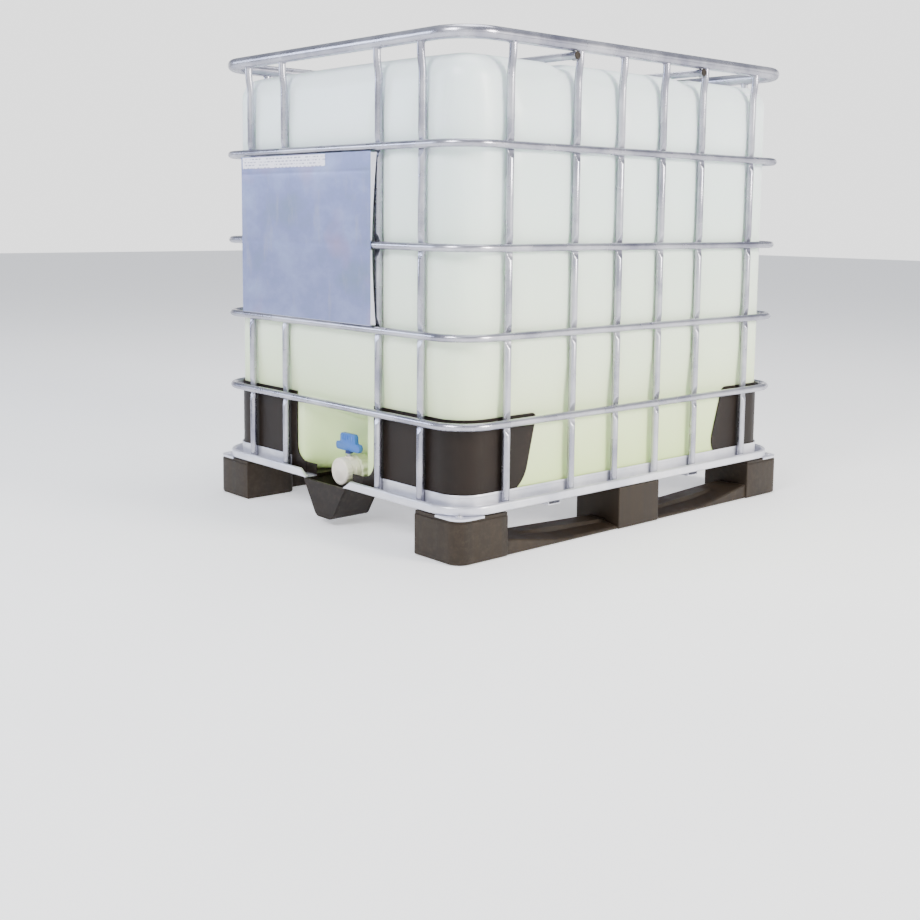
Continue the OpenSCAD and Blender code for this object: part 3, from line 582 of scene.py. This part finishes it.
UPSTAND_OUT = -TUBE_R - 0.5
UPSTAND_IN = UPSTAND_OUT - 2
BEAD_IN = 10.0
BEAD_OUT = POST_INSET
BEAD_H = 21.0
UPSTAND_TOP = FRAME_HIGH[2]
FRONT_GAP = 80.0
UPSTAND_GAP = 185.0
TAPER = 26.0
FRAME_BEND = 80


def bead_outline(low, high):
    """The rolled outer bead, from its inner foot over the top to its outer foot."""
    mid = (BEAD_IN + BEAD_OUT) / 2
    r = (BEAD_OUT - BEAD_IN) / 2
    top = [(mid + r * math.cos(t), high - r + r * math.sin(t)) for t in np.linspace(math.pi, 0, 9)]
    foot = [(mid + r * math.cos(t), low + r + r * math.sin(t)) for t in np.linspace(0, -math.pi / 2, 6)]
    return top + foot


def tray_frame():
    low = FOOT_H
    floor = low + 2
    bead = bead_outline(low, low + BEAD_H)
    a, b, top = UPSTAND_IN, UPSTAND_OUT, UPSTAND_TOP
    hem = [(a, low), (a, top - 1), (a + 0.3, top), (b + 0.5, top), (b + 1.0, top - 1), (b + 1.0, top - 5),
           (b, top - 6), (b, floor + 2), (b + 0.7, floor + 0.6), (b + 2, floor)]
    full = hem + [(BEAD_IN - 1, floor)] + bead
    hw, hl = HALF_W - POST_INSET, HALF_L - POST_INSET
    shape = Shape()
    shape.loft(carry(loop_path(hw, hl, FRAME_BEND, UPSTAND_GAP, 14), full))
    short = [(UPSTAND_IN, low), (UPSTAND_IN, floor), (BEAD_IN - 1, floor)] + bead
    for s in SIGNS:
        places = [UPSTAND_GAP] + [FRONT_GAP + TAPER * k / 6 for k in range(6, -1, -1)]
        rings = []
        for x in places:
            part = min(1.0, 0.14 + 0.86 * (x - FRONT_GAP) / TAPER)
            rings.append([(s * x, -hl - out, low + (z - low) * (part if out > BEAD_IN - 2 else 1))
                          for out, z in short])
        shape.loft(rings)
    # Ears at the corners that carry the screws
    ear = [(EAR_HOLE_R, 0.1), (EAR_R, 0.1), (EAR_R, EAR_T - 0.4), (EAR_R - 0.6, EAR_T), (EAR_HOLE_R, EAR_T)]
    for sx, sy in CORNERS:
        shape.lathe(ear, (sx * EAR_X, sy * EAR_Y, low), "z", 24)
    shape.make("tray_frame", SHEET, "galvanised_steel", replaces=["base_frame"])


def tray_screws():
    heads = Shape()
    for sx, sy in CORNERS:
        hex_screw(heads, sx * EAR_X, sy * EAR_Y, PAN_TOP, HEAD_R, HEAD_H)
    heads.make("ear_screws", SCREW, "galvanised_steel", replaces=["corner_screws"])


# ---------- Feet, runners, drip chute ----------

PALLET_R = 35.0
FOOT_INNER_R = 15.0
EDGE = 4.0


def foot_outline(low, high, inset):
    """Plan of a foot: its corners on the pallet's outline are rounder than the others."""
    points = []
    for quarter, (sx, sy) in enumerate(CORNERS):
        cx, cy = (high[0] if sx > 0 else low[0]), (high[1] if sy > 0 else low[1])
        outer = abs(abs(cx) - HALF_W) < 1 and abs(abs(cy) - HALF_L) < 1
        edge = abs(abs(cx) - HALF_W) < 1 or abs(abs(cy) - HALF_L) < 1
        r = PALLET_R if outer else (2.5 if edge else FOOT_INNER_R)
        r = max(r - inset, 0.8)
        for k in range(7):
            t = math.radians(-90 + 90 * quarter + 15 * k)
            points.append((cx - sx * (inset + r) + r * math.cos(t), cy - sy * (inset + r) + r * math.sin(t)))
    return points


def foot(node):
    low, high = span(node)
    corner = "front_" in node or "rear_left" in node or "rear_right" in node
    top = high[2] - (0.2 if not corner else 1.7)
    steps = [(0, EDGE + 6), (0, EDGE), (EDGE * 0.3, EDGE * 0.3), (EDGE, 0)]
    rings = [[(x, y, z) for x, y in foot_outline(low, high, inset)] for z, inset in steps]
    step_z = top - 9
    rim = 1.6 if corner else 0.0
    for z, inset in ((step_z, 0.0), (step_z + 0.1, rim), (top - 1, rim), (top, rim + 1)):
        rings.append([(x, y, z) for x, y in foot_outline(low, high, inset)])
    shape = Shape()
    shape.loft(rings)
    shape.make(node.replace("foot", "block"), BLACK, "black_plastic", replaces=[node], sharp=32)


RUNNER_IN, RUNNER_OUT = HALF_W - 100, HALF_W - 5
RUNNER_TAPER_Y = 270.0


def runner(node):
    """A floor runner: low and wide, rising with a crease towards the corner foot."""
    low, high = span(node)
    sx = 1 if low[0] > 0 else -1
    sy = 1 if low[1] > 0 else -1
    corner_y, mid_y = max(abs(low[1]), abs(high[1])), min(abs(low[1]), abs(high[1]))
    tall = high[2]
    rings = []
    for k in range(15):
        y = corner_y + (mid_y - corner_y) * k / 14
        inner = tall - 2 + (tall / 2 - tall + 2) * k / 14
        outer = 8 + (tall - 8) * max(0.0, (y - RUNNER_TAPER_Y) / (corner_y - RUNNER_TAPER_Y))
        outer = min(outer, inner + 2) if k else tall
        x0, x1 = RUNNER_IN, RUNNER_OUT
        crease = x0 + 48 + 10 * k / 14
        outline = [(x0 + 3, 0), (x1 - 3, 0), (x1, 3), (x1, max(outer - 3, 4)), (x1 - 3, max(outer, 5)),
                   (crease, (inner * 0.45 + outer * 0.55)), (crease - 6, inner - 0.5), (x0 + 3, inner),
                   (x0, inner - 3), (x0, 3)]
        rings.append([(sx * x, sy * y, z) for x, z in outline])
    shape = Shape()
    shape.loft(rings)
    shape.make(node.replace("runner", "skid"), BLACK, "black_plastic", replaces=[node], sharp=28)


CHUTE_LOW_HALF = 33.0
CHUTE_R = 20.0
CHUTE_WALL = 5.0
CHUTE_BACK_TOP = 82.0


def chute():
    """The V-shaped drip chute: a thin-walled funnel with round lower corners."""
    low, high = span("drip_chute")
    z0, z1 = low[2], high[2]
    r = CHUTE_R
    lean = math.atan2(high[0] - CHUTE_LOW_HALF, z1 - z0)

    def outline(inset, top):
        half = CHUTE_LOW_HALF - inset * 0.55
        base = z0 + inset
        slope = math.tan(lean)
        start = [(-(half + slope * (top - base)), top)]
        arc_in = []
        turn = math.pi / 2 - lean
        cut = r * math.tan(turn / 2)
        for k in range(7):
            t = turn * k / 6
            cx = half - cut
            arc_in.append((cx + r * math.sin(t), base + r - r * math.cos(t)))
        left = [(-x, z) for x, z in arc_in[::-1]]
        return start + left + arc_in + [(-x, z) for x, z in start]
    front, back = low[1], high[1]
    shape = Shape()
    channel = outline(0, z1) + outline(CHUTE_WALL, z1)[::-1]
    shape.loft([[(x, y, z) for x, z in channel] for y in (front + 0.4, front + 40, back - 6.5)])
    for y0, y1, top in ((front, front + CHUTE_WALL, z1), (back - CHUTE_WALL, back, CHUTE_BACK_TOP)):
        face = outline(0, top)
        edge = outline(1.2, top - 0.6) if y0 == front else face
        shape.loft([[(x, y0, z) for x, z in edge], [(x, y0 + 1.2, z) for x, z in face],
                    [(x, y1, z) for x, z in face]])
    # Shallow raised rib down the front
    shape.box((-2, front - 0.01, z0 + 14), (2, front + 1, z1 - 16), 0.4)
    shape.make("drip_funnel", GUARD, "black_plastic", replaces=["drip_chute"], sharp=30)


# ---------- Corner protectors ----------

WINDOW_HALF = 160.0
WINDOW_R = 40.0
WINDOW_LOW = 135.0
GUARD_R = 73.0
GUARD_T = 2.4
GUARD_HEEL_R = 62.0
GUARD_HEEL_LOW = UPSTAND_TOP - 16
GUARD_TOP_R = 14


def protector(node, side_top, side_low):
    """A bent sheet round a lower corner; its free edges are round at the bottom."""
    low, high = span(node)
    sx = 1 if low[0] > 0 else -1
    sy = 1 if low[1] > 0 else -1
    hw, hl = (max(abs(low[i]), abs(high[i])) for i in (0, 1))
    z0, z1 = low[2], high[2]
    r = GUARD_R
    corner_arc = r * math.pi / 2
    front_run, side_run = hw - r, hl - r

    def window_edge(z):
        if z < WINDOW_LOW:
            return WINDOW_HALF - WINDOW_R + 1
        drop = WINDOW_LOW + WINDOW_R - z
        return WINDOW_HALF - (WINDOW_R - math.sqrt(max(WINDOW_R ** 2 - drop ** 2, 0)) if drop > 0 else 0)

    def side_edge(z):
        part = (z - z0) / (z1 - z0)
        edge = side_low + (side_top - side_low) * part
        drop = GUARD_HEEL_LOW + GUARD_HEEL_R - z
        if drop > 0:
            edge += GUARD_HEEL_R - math.sqrt(max(GUARD_HEEL_R ** 2 - min(drop, GUARD_HEEL_R) ** 2, 0))
        near_top = z - (z1 - GUARD_TOP_R)
        if near_top > 0:
            edge += GUARD_TOP_R - math.sqrt(max(GUARD_TOP_R ** 2 - near_top ** 2, 0))
        return edge

    def point(s, depth, z):
        """A place s along the sheet, from the front's middle round to the side."""
        if s < front_run:
            x, y, nx, ny = s, -hl, 0, -1
        elif s < front_run + corner_arc:
            t = (s - front_run) / r
            x, y = front_run + r * math.sin(t), -(side_run + r * math.cos(t))
            nx, ny = math.sin(t), -math.cos(t)
        else:
            x, y, nx, ny = hw, -(side_run - (s - front_run - corner_arc)), 1, 0
        x, y = x - nx * depth, y - ny * depth
        return (sx * x, -sy * y, z)
    levels = sorted({z0, z1 - 0.8, z1, WINDOW_LOW - 0.1, *np.linspace(z0, z1, 22),
                     *np.linspace(WINDOW_LOW, WINDOW_LOW + WINDOW_R, 8),
                     *(z1 - GUARD_TOP_R + GUARD_TOP_R * math.sin(k * math.pi / 12) for k in range(7))})
    rings = []
    for z in levels:
        s0 = window_edge(z)
        s1 = front_run + corner_arc + (side_run - side_edge(z))
        stops = [s0 + (front_run - s0) * k / 4 for k in range(4)]
        stops += [front_run + corner_arc * k / 12 for k in range(13)]
        stops += [front_run + corner_arc + (s1 - front_run - corner_arc) * k / 4 for k in range(1, 5)]
        skin = 0.3 if z in (z0, z1) else 0.0
        rings.append([point(s, skin, z) for s in stops] + [point(s, GUARD_T - skin, z) for s in stops[::-1]])
    shape = Shape()
    shape.loft(rings)
    shape.make(node.replace("guard", "protector"), GUARD, "black_plastic", replaces=[node], sharp=50)


# ---------- Identification plate ----------

PLATE_LEFT, PLATE_RIGHT = -361.0, 190.0
PLATE_LINE_DROP = 44

def plate():
    low, high = span("id_plate")
    y = -(HALF_L + 0.1)
    left, right = PLATE_LEFT, PLATE_RIGHT
    z0, z1 = low[2], high[2]
    ring_z = RING_Z[2]
    line_z = z1 - PLATE_LINE_DROP
    shape = Shape()

    def dent(x, z):
        """Shallow waves of a thin sheet, and two pressed lines across it."""
        wave = 0.35 * math.sin(x * 0.021 + 1.3) * math.sin(z * 0.017) + 0.25 * math.sin(x * 0.009 - z * 0.013)
        line = 0.7 * math.exp(-((z - line_z) / 3.0) ** 2) + 0.5 * math.exp(-((z - ring_z) / 7.0) ** 2)
        fade = min(1.0, (x - left) / 20, (right - x) / 20, (z - z0) / 12, (z1 - z) / 12)
        return (wave * 0.6 + line) * max(fade, 0)
    zs = sorted({*np.linspace(z0, z1, 34), line_z, line_z + 4, line_z - 4, ring_z - 7, ring_z, ring_z + 7})
    rings = []
    for x in np.linspace(left, right, 46):
        front = [(x, y - 1.0 + min(dent(x, z), 0.9) * 0.9, z) for z in zs]
        back = [(x, y, z) for z in reversed(zs)]
        rings.append(front + back)
    shape.loft(rings)
    shape.make("marking_plate", PLATE, "plate_steel", replaces=["id_plate"], sharp=40)
    # Folded lower edge and side edges; the side edges are cut away at the third ring
    shape = Shape()
    shape.box((left + 4, y - 1.05, z0), (right - 4, y + 6, z0 + 1.2), 0.3)
    for s, edge in ((-1, left), (1, right)):
        for lo, hi in ((z0 + 3, ring_z - 11), (ring_z + 11, z1 - 3)):
            rings = []
            for z in np.linspace(lo, hi, 14):
                width = 3.0 + 11.0 * (abs(z - ring_z) / (z1 - ring_z)) ** 1.6
                dx, dy = s * width * 0.707, width * 0.707
                rings.append([(edge, y - 1, z), (edge + dx, y - 1 + dy, z),
                              (edge + dx - s * 0.7, y - 0.3 + dy, z), (edge - s * 0.7, y - 0.3, z)])
            shape.loft(rings)
    # These folded edges are plate steel but take the paler galvanised sheet finish, a painted highlight that
    # draws them lighter where light catches the folds.
    shape.make("marking_plate_edges_painted_highlight", SHEET, "plate_steel", sharp=40)
    label_low, label_high = span("id_label")
    film = Shape()
    film.box((label_low[0], label_low[1], label_low[2]),
             (label_high[0], label_high[1] + 0.2, label_high[2]), 0.08)
    film.make("marking_label", LABEL, "label_film", replaces=["id_label"])


# ---------- Bottle ----------

BOTTLE_HW = BOTTLE_HIGH[0]
BOTTLE_HL = BOTTLE_HIGH[1]
BOTTLE_TOP = 1115.0
BOTTLE_FLOOR = 112.0
BOTTLE_R, SHOULDER_R, HEEL_R = 72.0, 55.0, 30.0
GROOVE_R = 25.0
SCOOP_R = 130.0
DISH_R, DISH_DEPTH = 125.0, 18
NECK_IN, NECK_OUT = 71, 74.2
NECK_TOP = BOTTLE_HIGH[2]


def smooth_max(a, b, k):
    """Blends two distances so that the edge where they meet is rounded by about k."""
    h = np.clip(0.5 - 0.5 * (b - a) / k, 0, 1)
    return b * (1 - h) + a * h + k * h * (1 - h)


def near_post(along, places, width):
    """1 at an upright, 0 far from all of them."""
    best = np.zeros_like(along)
    for place in places:
        best = np.maximum(best, np.exp(-((along - place) / width) ** 2))
    return best


def rounded_edge(a, b, r):
    """Distance to the corner of two faces at distances a and b, rounded by r."""
    a, b = a + r, b + r
    return np.hypot(np.maximum(a, 0), np.maximum(b, 0)) + np.minimum(np.maximum(a, b), 0) - r


def bottle_distance(p):
    """Distance-like field of the bottle's outside; negative within."""
    x, y, z = p[:, 0], p[:, 1], p[:, 2]
    in_height = np.clip((z - 330) / 90, 0, 1) * np.clip((1075 - z) / 90, 0, 1)
    ring_press = np.zeros_like(z)
    for ring_z in RING_Z:
        ring_press = np.maximum(ring_press, np.exp(-((z - ring_z) / 22) ** 2))
    swell_x = in_height * (13.5 - 8.5 * near_post(y, POSTS_SIDE, 26) - 2.5 * ring_press) \
        * np.clip((BOTTLE_HL - 40 - np.abs(y)) / 110, 0, 1)
    swell_y = in_height * (12.5 - 8.0 * near_post(x, POSTS_FRONT, 26) - 2.5 * ring_press) \
        * np.clip((BOTTLE_HW - 40 - np.abs(x)) / 110, 0, 1)
    r = BOTTLE_R
    qx = np.abs(x) - (BOTTLE_HW + swell_x - r)
    qy = np.abs(y) - (BOTTLE_HL + swell_y - r)
    plan = rounded_edge(qx - r, qy - r, r)
    crown = 7.0 * (1 - (x / BOTTLE_HW) ** 2)
    field = np.maximum(rounded_edge(plan, z - (BOTTLE_TOP - 6 + crown * 0.8), SHOULDER_R),
                       rounded_edge(plan, BOTTLE_FLOOR - z, HEEL_R))
    for node in ("top_bar_front", "top_bar_rear"):
        bar_y = middle(node, "y")
        groove = GROOVE_R - np.hypot(y - bar_y, z - (BOTTLE_TOP + 5))
        field = smooth_max(field, groove, 16.0)
    dish = np.minimum(DISH_R - np.hypot(x, y), z - (BOTTLE_TOP - DISH_DEPTH))
    field = smooth_max(field, dish, 9.0)
    scoop = SCOOP_R - np.hypot(x, y + HALF_L)
    ceiling = 250.0 + np.clip(-y - 470, 0, 110) * 0.47 - z
    field = smooth_max(field, np.minimum(scoop, ceiling), 12.0)
    return field


def bottle_skin(cells=96):
    """Points of a gridded cube pushed onto the bottle's outside along rays from its middle."""
    core = np.array([0.0, 0.0, 600.0])
    half = np.array([BOTTLE_HW, BOTTLE_HL, 505.0])
    spread = math.pi / 4 * 0.72
    steps = np.tan(np.linspace(-1, 1, cells + 1) * spread) / math.tan(spread)
    index, verts, faces = {}, [], []

    def vertex(key):
        if key not in index:
            index[key] = len(verts)
            verts.append([steps[i] for i in key])
        return index[key]
    for axis in range(3):
        u, v = (axis + 1) % 3, (axis + 2) % 3
        for end in (0, cells):
            for i in range(cells):
                for j in range(cells):
                    quad = []
                    for di, dj in ((0, 0), (1, 0), (1, 1), (0, 1)):
                        key = [0, 0, 0]
                        key[axis], key[u], key[v] = end, i + di, j + dj
                        quad.append(vertex(tuple(key)))
                    faces.append(tuple(quad if end else quad[::-1]))
    rays = np.array(verts) * half
    near, far = np.full(len(rays), 0.2), np.full(len(rays), 1.25)
    for _ in range(26):
        mid = (near + far) / 2
        inside = bottle_distance(core + rays * mid[:, None]) < 0
        near, far = np.where(inside, mid, near), np.where(inside, far, mid)
    return core + rays * near[:, None], faces


def bottle():
    shape = Shape()
    verts, faces = bottle_skin()
    shape.add(verts, faces)
    # Fill neck
    foot_z = BOTTLE_TOP - DISH_DEPTH - 2
    neck = [(NECK_IN, foot_z), (NECK_OUT, foot_z), (NECK_OUT, NECK_TOP - 1), (NECK_OUT - 0.8, NECK_TOP),
            (NECK_IN + 0.4, NECK_TOP), (NECK_IN, NECK_TOP - 1)]
    shape.lathe(neck, (0, 0, 0), "z", 72)
    # Sump and outlet stub
    stub = [(26, 430), (33, 425), (33, 470), (31, 473), (29, 474), (29, 496), (28, 497), (25, 497), (25, 430)]
    shape.lathe(stub, (0, 0, OUTLET_Z), "y", 48)
    shape.make("blown_bottle", BOTTLE, "natural_plastic", replaces=["bottle"], sharp=60)


# ---------- Fill lid and vent plug ----------


def lugs(count, width, depth):
    """Radius rule that raises grip lugs on the widest part of a turned shape."""
    def rule(r, h, t):
        phase = (t * count / TAU) % 1.0
        rise = max(0.0, 1 - abs(phase - 0.5) / width)
        return r + (depth * min(1.0, rise * 2.2) if r > rule.edge else 0)
    rule.edge = 0
    return rule


def fill_lid():
    z0, top = span("fill_lid")[0][2], NECK_TOP + 8.2
    rule = lugs(24, 0.26, 2.6)
    rule.edge = 87
    shape = Shape()
    skirt = [(75.3, z0), (86.8, z0), (88.1, z0 + 1.2), (88.1, top - 3.5), (86.5, top - 1), (84, top)]
    crown = [(78, top), (76.5, top - 1.2), (28, top - 1.2), (27.5, top + 3.2), (26.6, top + 4), (18, top + 4)]
    under = [(18, -3.8), (28, -3.8), (28, 2.2), (75.3, 2.2)]
    shape.lathe(skirt + crown + [(r, NECK_TOP + up) for r, up in under], (0, 0, 0), "z", 144, rule)
    for k in range(6):
        t = math.radians(60 * k)
        c, s = math.cos(t), math.sin(t)
        rib = []
        for along, height in ((29, 3.6), (34, 4.8), (72, 4.8), (81, 0.2)):
            rib.append([(along * c - b * s, along * s + b * c, top - 1.6 + a)
                        for a, b in ((0, -3), (height, -2.2), (height, 2.2), (0, 3))])
        shape.loft(rib)
    shape.make("screw_lid", LID, "black_plastic", body="lid", replaces=["fill_lid"], sharp=34)


def vent_plug():
    boss = NECK_TOP + 12.2
    rule = lugs(18, 0.28, 0.9)
    rule.edge = 22.9
    shape = Shape()
    plug = [(14, -12), (17.6, -12), (17.7, 2), (22.6, 2), (23.1, 2.8), (23.1, 6), (21.8, 7), (6, 7.2), (6, 1)]
    shape.lathe(plug + [(14, 1)], (0, 0, boss), "z", 108, rule)
    shape.box((-19, -3, boss + 6.8), (19, 3, boss + 11), 0.9)
    shape.lathe([(0.3, 1), (6.2, 1), (6.2, 6.9), (0.3, 6.9)], (0, 0, boss), "z", 24)
    shape.make("vent_screw", LID, "black_plastic", body="vent", replaces=["vent_plug"], sharp=34)


# ---------- Outlet valve ----------

AXIS = (0, 0, OUTLET_Z)
BORE_R = 25
STEM_R = 5.1
THREAD_PITCH = 6


def reach_of(node):
    """How far forward along the outlet a CAD node starts and ends."""
    low, high = span(node)
    return -high[1], -low[1]


def union_nut():
    back, front = reach_of("outlet_nut")
    rule = lugs(12, 0.3, 2.4)
    rule.edge = 35
    shape = Shape()
    skirt = [(29.1, back), (34, back), (35.6, back + 1.5), (35.6, front - 3), (34, front - 1), (31, front)]
    inside = [(28.3, front), (28.3, front - 3.6), (32, front - 4), (32, 497.2), (29.1, 497.2)]
    shape.lathe(skirt + inside, AXIS, "y", 96, rule)
    shape.make("union_nut", NATURAL, "cream_plastic", replaces=["outlet_nut"], sharp=34)


def valve_body():
    shape = Shape()
    flange = [(BORE_R, 499), (31.5, 499), (31.5, 503), (28, 503.2), (28, 509.2)]
    chamber = [(31.5, 509.4), (33, 511), (33, 531), (32.2, 533), (30, 534), (29, 535)]
    nose = [(29, 547), (28.2, 548), (BORE_R + 0.6, 548), (BORE_R, 547.4)]
    shape.lathe(flange + chamber + nose, AXIS, "y", 72)
    # Male thread in front
    for y in (538.5, 538.5 + THREAD_PITCH):
        shape.lathe([(28.7, y - 1.6), (29.2, y - 0.5), (29.2, y + 0.5), (28.7, y + 1.6)], AXIS, "y", 60)
    # Stem tower with its ribs
    tower = [(STEM_R, 26), (11.5, 26), (11, 35), (10.2, 36), (8, 36), (8, 33.1), (STEM_R, 33.1)]
    shape.lathe(tower, (0, -STEM_Y, OUTLET_Z), "z", 36)
    for s in SIGNS:
        shape.box((14 * s - 1.5, -STEM_Y - 9, OUTLET_Z + 27), (14 * s + 1.5, -STEM_Y + 9, OUTLET_Z + 31.5), 0.5)
    shape.box((-33.8, -STEM_Y - 1.2, OUTLET_Z - 12), (33.8, -STEM_Y + 1.2, OUTLET_Z + 12), 0.5)
    shape.make("valve_housing", CREAM, "cream_plastic", replaces=["valve_body"], sharp=34)


def dust_cap():
    back, front = reach_of("outlet_cap")
    rule = lugs(24, 0.3, 0.75)
    rule.edge = 33.8
    shape = Shape()
    face = [(34, 3.2), (33.6, 2), (32.2, 0.6), (30.6, 0), (27, 0), (25.8, 0.5), (25, 1.4), (8, 1.7), (6.4, 1.2),
            (5, 0.8), (0.3, 0.8), (0.3, 3.4), (29.3, 3.6)]
    shape.lathe([(29.3, back), (33.2, back), (34, back + 0.9)] + [(r, front - deep) for r, deep in face],
                AXIS, "y", 120, rule)
    shape.make("dust_cap", CREAM, "cream_plastic", body="cap", replaces=["outlet_cap"], sharp=34)


def handle_outline():
    """Outline of the lever in X and Z: a wide wing with a taller grip above it."""
    wing, _, top = span("valve_handle")[1]
    wing_low, wing_top, grip, r = 175.0, 196.0, 31.0, 8.0
    points = []

    def arc(cx, cz, radius, start, stop):
        for k in range(6):
            t = math.radians(start + (stop - start) * k / 5)
            points.append((cx + radius * math.cos(t), cz + radius * math.sin(t)))
    arc(wing - r, wing_low + r, r, -90, 0)
    arc(wing - r, wing_top - r, r, 0, 60)
    arc(grip + 6, wing_top + 5, 6, 240, 180)
    arc(grip - r, top - r, r, 0, 90)
    half = list(points)
    return half + [(-x, z) for x, z in reversed(half)]


def lever():
    outline = handle_outline()
    shape = Shape()
    cz = 195.0

    def ring(y, inset):
        return [(x * (1 - inset / 49), -STEM_Y + y, cz + (z - cz) * (1 - inset / 22)) for x, z in outline]
    thick = 6.0
    shape.loft([ring(-thick, 2.0), ring(-thick + 0.5, 0.8), ring(-thick + 1.8, 0), ring(thick - 1.8, 0),
                ring(thick - 0.5, 0.8), ring(thick, 2.0)])
    # Finger ribs on both faces of the grip
    for s in SIGNS:
        for k in range(-2, 3):
            x = 10.0 * k
            y0, y1 = sorted((-STEM_Y + s * (thick - 0.6), -STEM_Y + s * (thick + 1.4)))
            shape.box((x - 1.6, y0, 200), (x + 1.6, y1, 214), 0.5)
    low = span("valve_handle")[0][2]
    hub = Shape()
    collar = [(STEM_R, low), (9.4, low), (10, low + 0.8), (10, 177.5), (STEM_R, 177.5)]
    hub.lathe(collar, (0, -STEM_Y, 0), "z", 32)
    hub.make("lever_hub", NAVY, "blue_plastic", body="handle", sharp=34)
    shape.make("valve_lever", BLUE, "blue_plastic", body="handle", replaces=["valve_handle"], sharp=34)


# ---------- Build ----------

uprights()
welds()
rings_and_rim()
top_bars()
tray_frame()
tray_screws()
for foot_node in [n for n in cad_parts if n.startswith("foot_")]:
    foot(foot_node)
for runner_node in [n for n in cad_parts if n.startswith("runner_")]:
    runner(runner_node)
chute()
for guard_node in [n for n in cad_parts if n.startswith("guard_")]:
    protector(guard_node, *((334, 382) if "front" in guard_node else (367, 306)))
plate()
bottle()
fill_lid()
vent_plug()
union_nut()
valve_body()
dust_cap()
lever()

# CAD nodes that keep their shape and get a finish
KEPT = [
    (SHEET, ["long_beams", "cross_beams", "floor_pan", "corner_plates"]),
    (SCREW, ["frame_screws", "top_bar_inserts", "valve_stem", "handle_screw"]),
    (RUBBER, ["fill_lid_gasket", "vent_plug_gasket", "outlet_gasket", "outlet_cap_gasket", "valve_seat_ring",
              "stem_seal"]),
    (GUARD, ["drip_liner"]),
    (CREAM, ["valve_disc"]),
]
for kept_material, kept_nodes in KEPT:
    for kept_node in kept_nodes:
        for kept_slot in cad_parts[kept_node].material_slots:
            kept_slot.material = kept_material

# ---------- Floor, light, camera ----------


FLOOR_SIZE = 40
FLOOR_DROP = 0.0005
FLOOR_GLOW = 0.45
SKY_STRENGTH = 2.1
LAMP_AIM = (0, 0, 0.55)
# Name, place in metres, size in metres, power in watts, colour
LAMPS = [
    ("key", (1.2, -4.6, 3.6), 1.8, 260, (0.98, 0.98, 1.0)),
    ("side", (5.2, 1.4, 2.4), 1.6, 380, (1.0, 0.94, 0.86)),
    ("cool", (-3.8, -3.6, 2.0), 1.6, 90, (0.72, 0.80, 1.0)),
    ("top", (0.0, 0.5, 5.2), 3.0, 170, (1, 1, 1)),
]


def studio():
    """Pale floor, a sky that is bright low down, one dark wall and four soft lamps."""
    bpy.ops.mesh.primitive_plane_add(size=FLOOR_SIZE, location=(0, 0, -FLOOR_DROP))
    floor = bpy.context.object
    floor.name = "studio_floor"
    material, tree, shader, coords = new_material("floor_paint", 0.75)
    tone = ramp(tree, noise(tree, coords, 3, 3), [(0.3, (0.90, 0.90, 0.90)), (0.7, (0.93, 0.93, 0.93))])
    tree.links.new(tone, shader.inputs["Base Color"])
    shader.inputs["Emission Color"].default_value = (1, 1, 1, 1)
    shader.inputs["Emission Strength"].default_value = FLOOR_GLOW
    floor.data.materials.append(material)
    world = bpy.data.worlds.new("studio")
    world.use_nodes = True
    tree = world.node_tree
    sky = tree.nodes["Background"]
    direction = tree.nodes.new("ShaderNodeTexCoord").outputs["Generated"]
    parts = tree.nodes.new("ShaderNodeSeparateXYZ")
    tree.links.new(direction, parts.inputs["Vector"])
    shade = ramp(tree, map_range(tree, parts.outputs["Z"], -0.1, 1.0, 0, 1),
                 [(0.0, (1.0, 1.0, 1.0)), (0.24, (1.0, 1.0, 1.0)), (0.38, (0.17, 0.18, 0.21)),
                  (1.0, (0.28, 0.30, 0.34))])
    # A dark studio wall on one side gives round metal a shaded flank
    wall = tree.nodes.new("ShaderNodeVectorMath")
    wall.operation = "DOT_PRODUCT"
    tree.links.new(direction, wall.inputs[0])
    wall.inputs[1].default_value = (-0.67, -0.74, 0)
    shade = mix(tree, map_range(tree, wall.outputs["Value"], 0.55, 0.9, 0, 0.85), shade, (0.10, 0.11, 0.15))
    tree.links.new(shade, sky.inputs["Color"])
    sky.inputs["Strength"].default_value = SKY_STRENGTH
    bpy.context.scene.world = world
    for name, place, size, power, colour in LAMPS:
        data = bpy.data.lights.new(name, "AREA")
        data.energy, data.size, data.color = power, size, colour
        lamp = bpy.data.objects.new(name, data)
        lamp.location = place
        lamp.rotation_euler = (Vector(LAMP_AIM) - Vector(place)).to_track_quat("-Z", "Y").to_euler()
        bpy.context.scene.collection.objects.link(lamp)


CAMERA_PLACE = (2.4578, -2.3308, 0.7582)
CAMERA_TURN = (47.867, 6.794, 0.618)
CAMERA_LENS = 48.46
CAMERA_SHIFT = (-0.0149, -0.1046)


def camera():
    """Camera at a place in metres, turned by yaw, pitch and roll in degrees."""
    yaw, pitch, roll = (math.radians(a) for a in CAMERA_TURN)
    forward = Vector((-math.sin(yaw) * math.cos(pitch), math.cos(yaw) * math.cos(pitch), -math.sin(pitch)))
    right = Vector((math.cos(yaw), math.sin(yaw), 0))
    up = right.cross(forward)
    right2 = math.cos(roll) * right + math.sin(roll) * up
    up2 = -math.sin(roll) * right + math.cos(roll) * up
    data = bpy.data.cameras.new("camera")
    data.sensor_width = 36.0
    data.lens = CAMERA_LENS
    data.shift_x, data.shift_y = CAMERA_SHIFT
    data.clip_end = 100
    obj = bpy.data.objects.new("camera", data)
    basis = Matrix((right2, up2, -forward)).transposed().to_4x4()
    basis.translation = Vector(CAMERA_PLACE)
    obj.matrix_world = basis
    bpy.context.scene.collection.objects.link(obj)
    bpy.context.scene.camera = obj


studio()
camera()
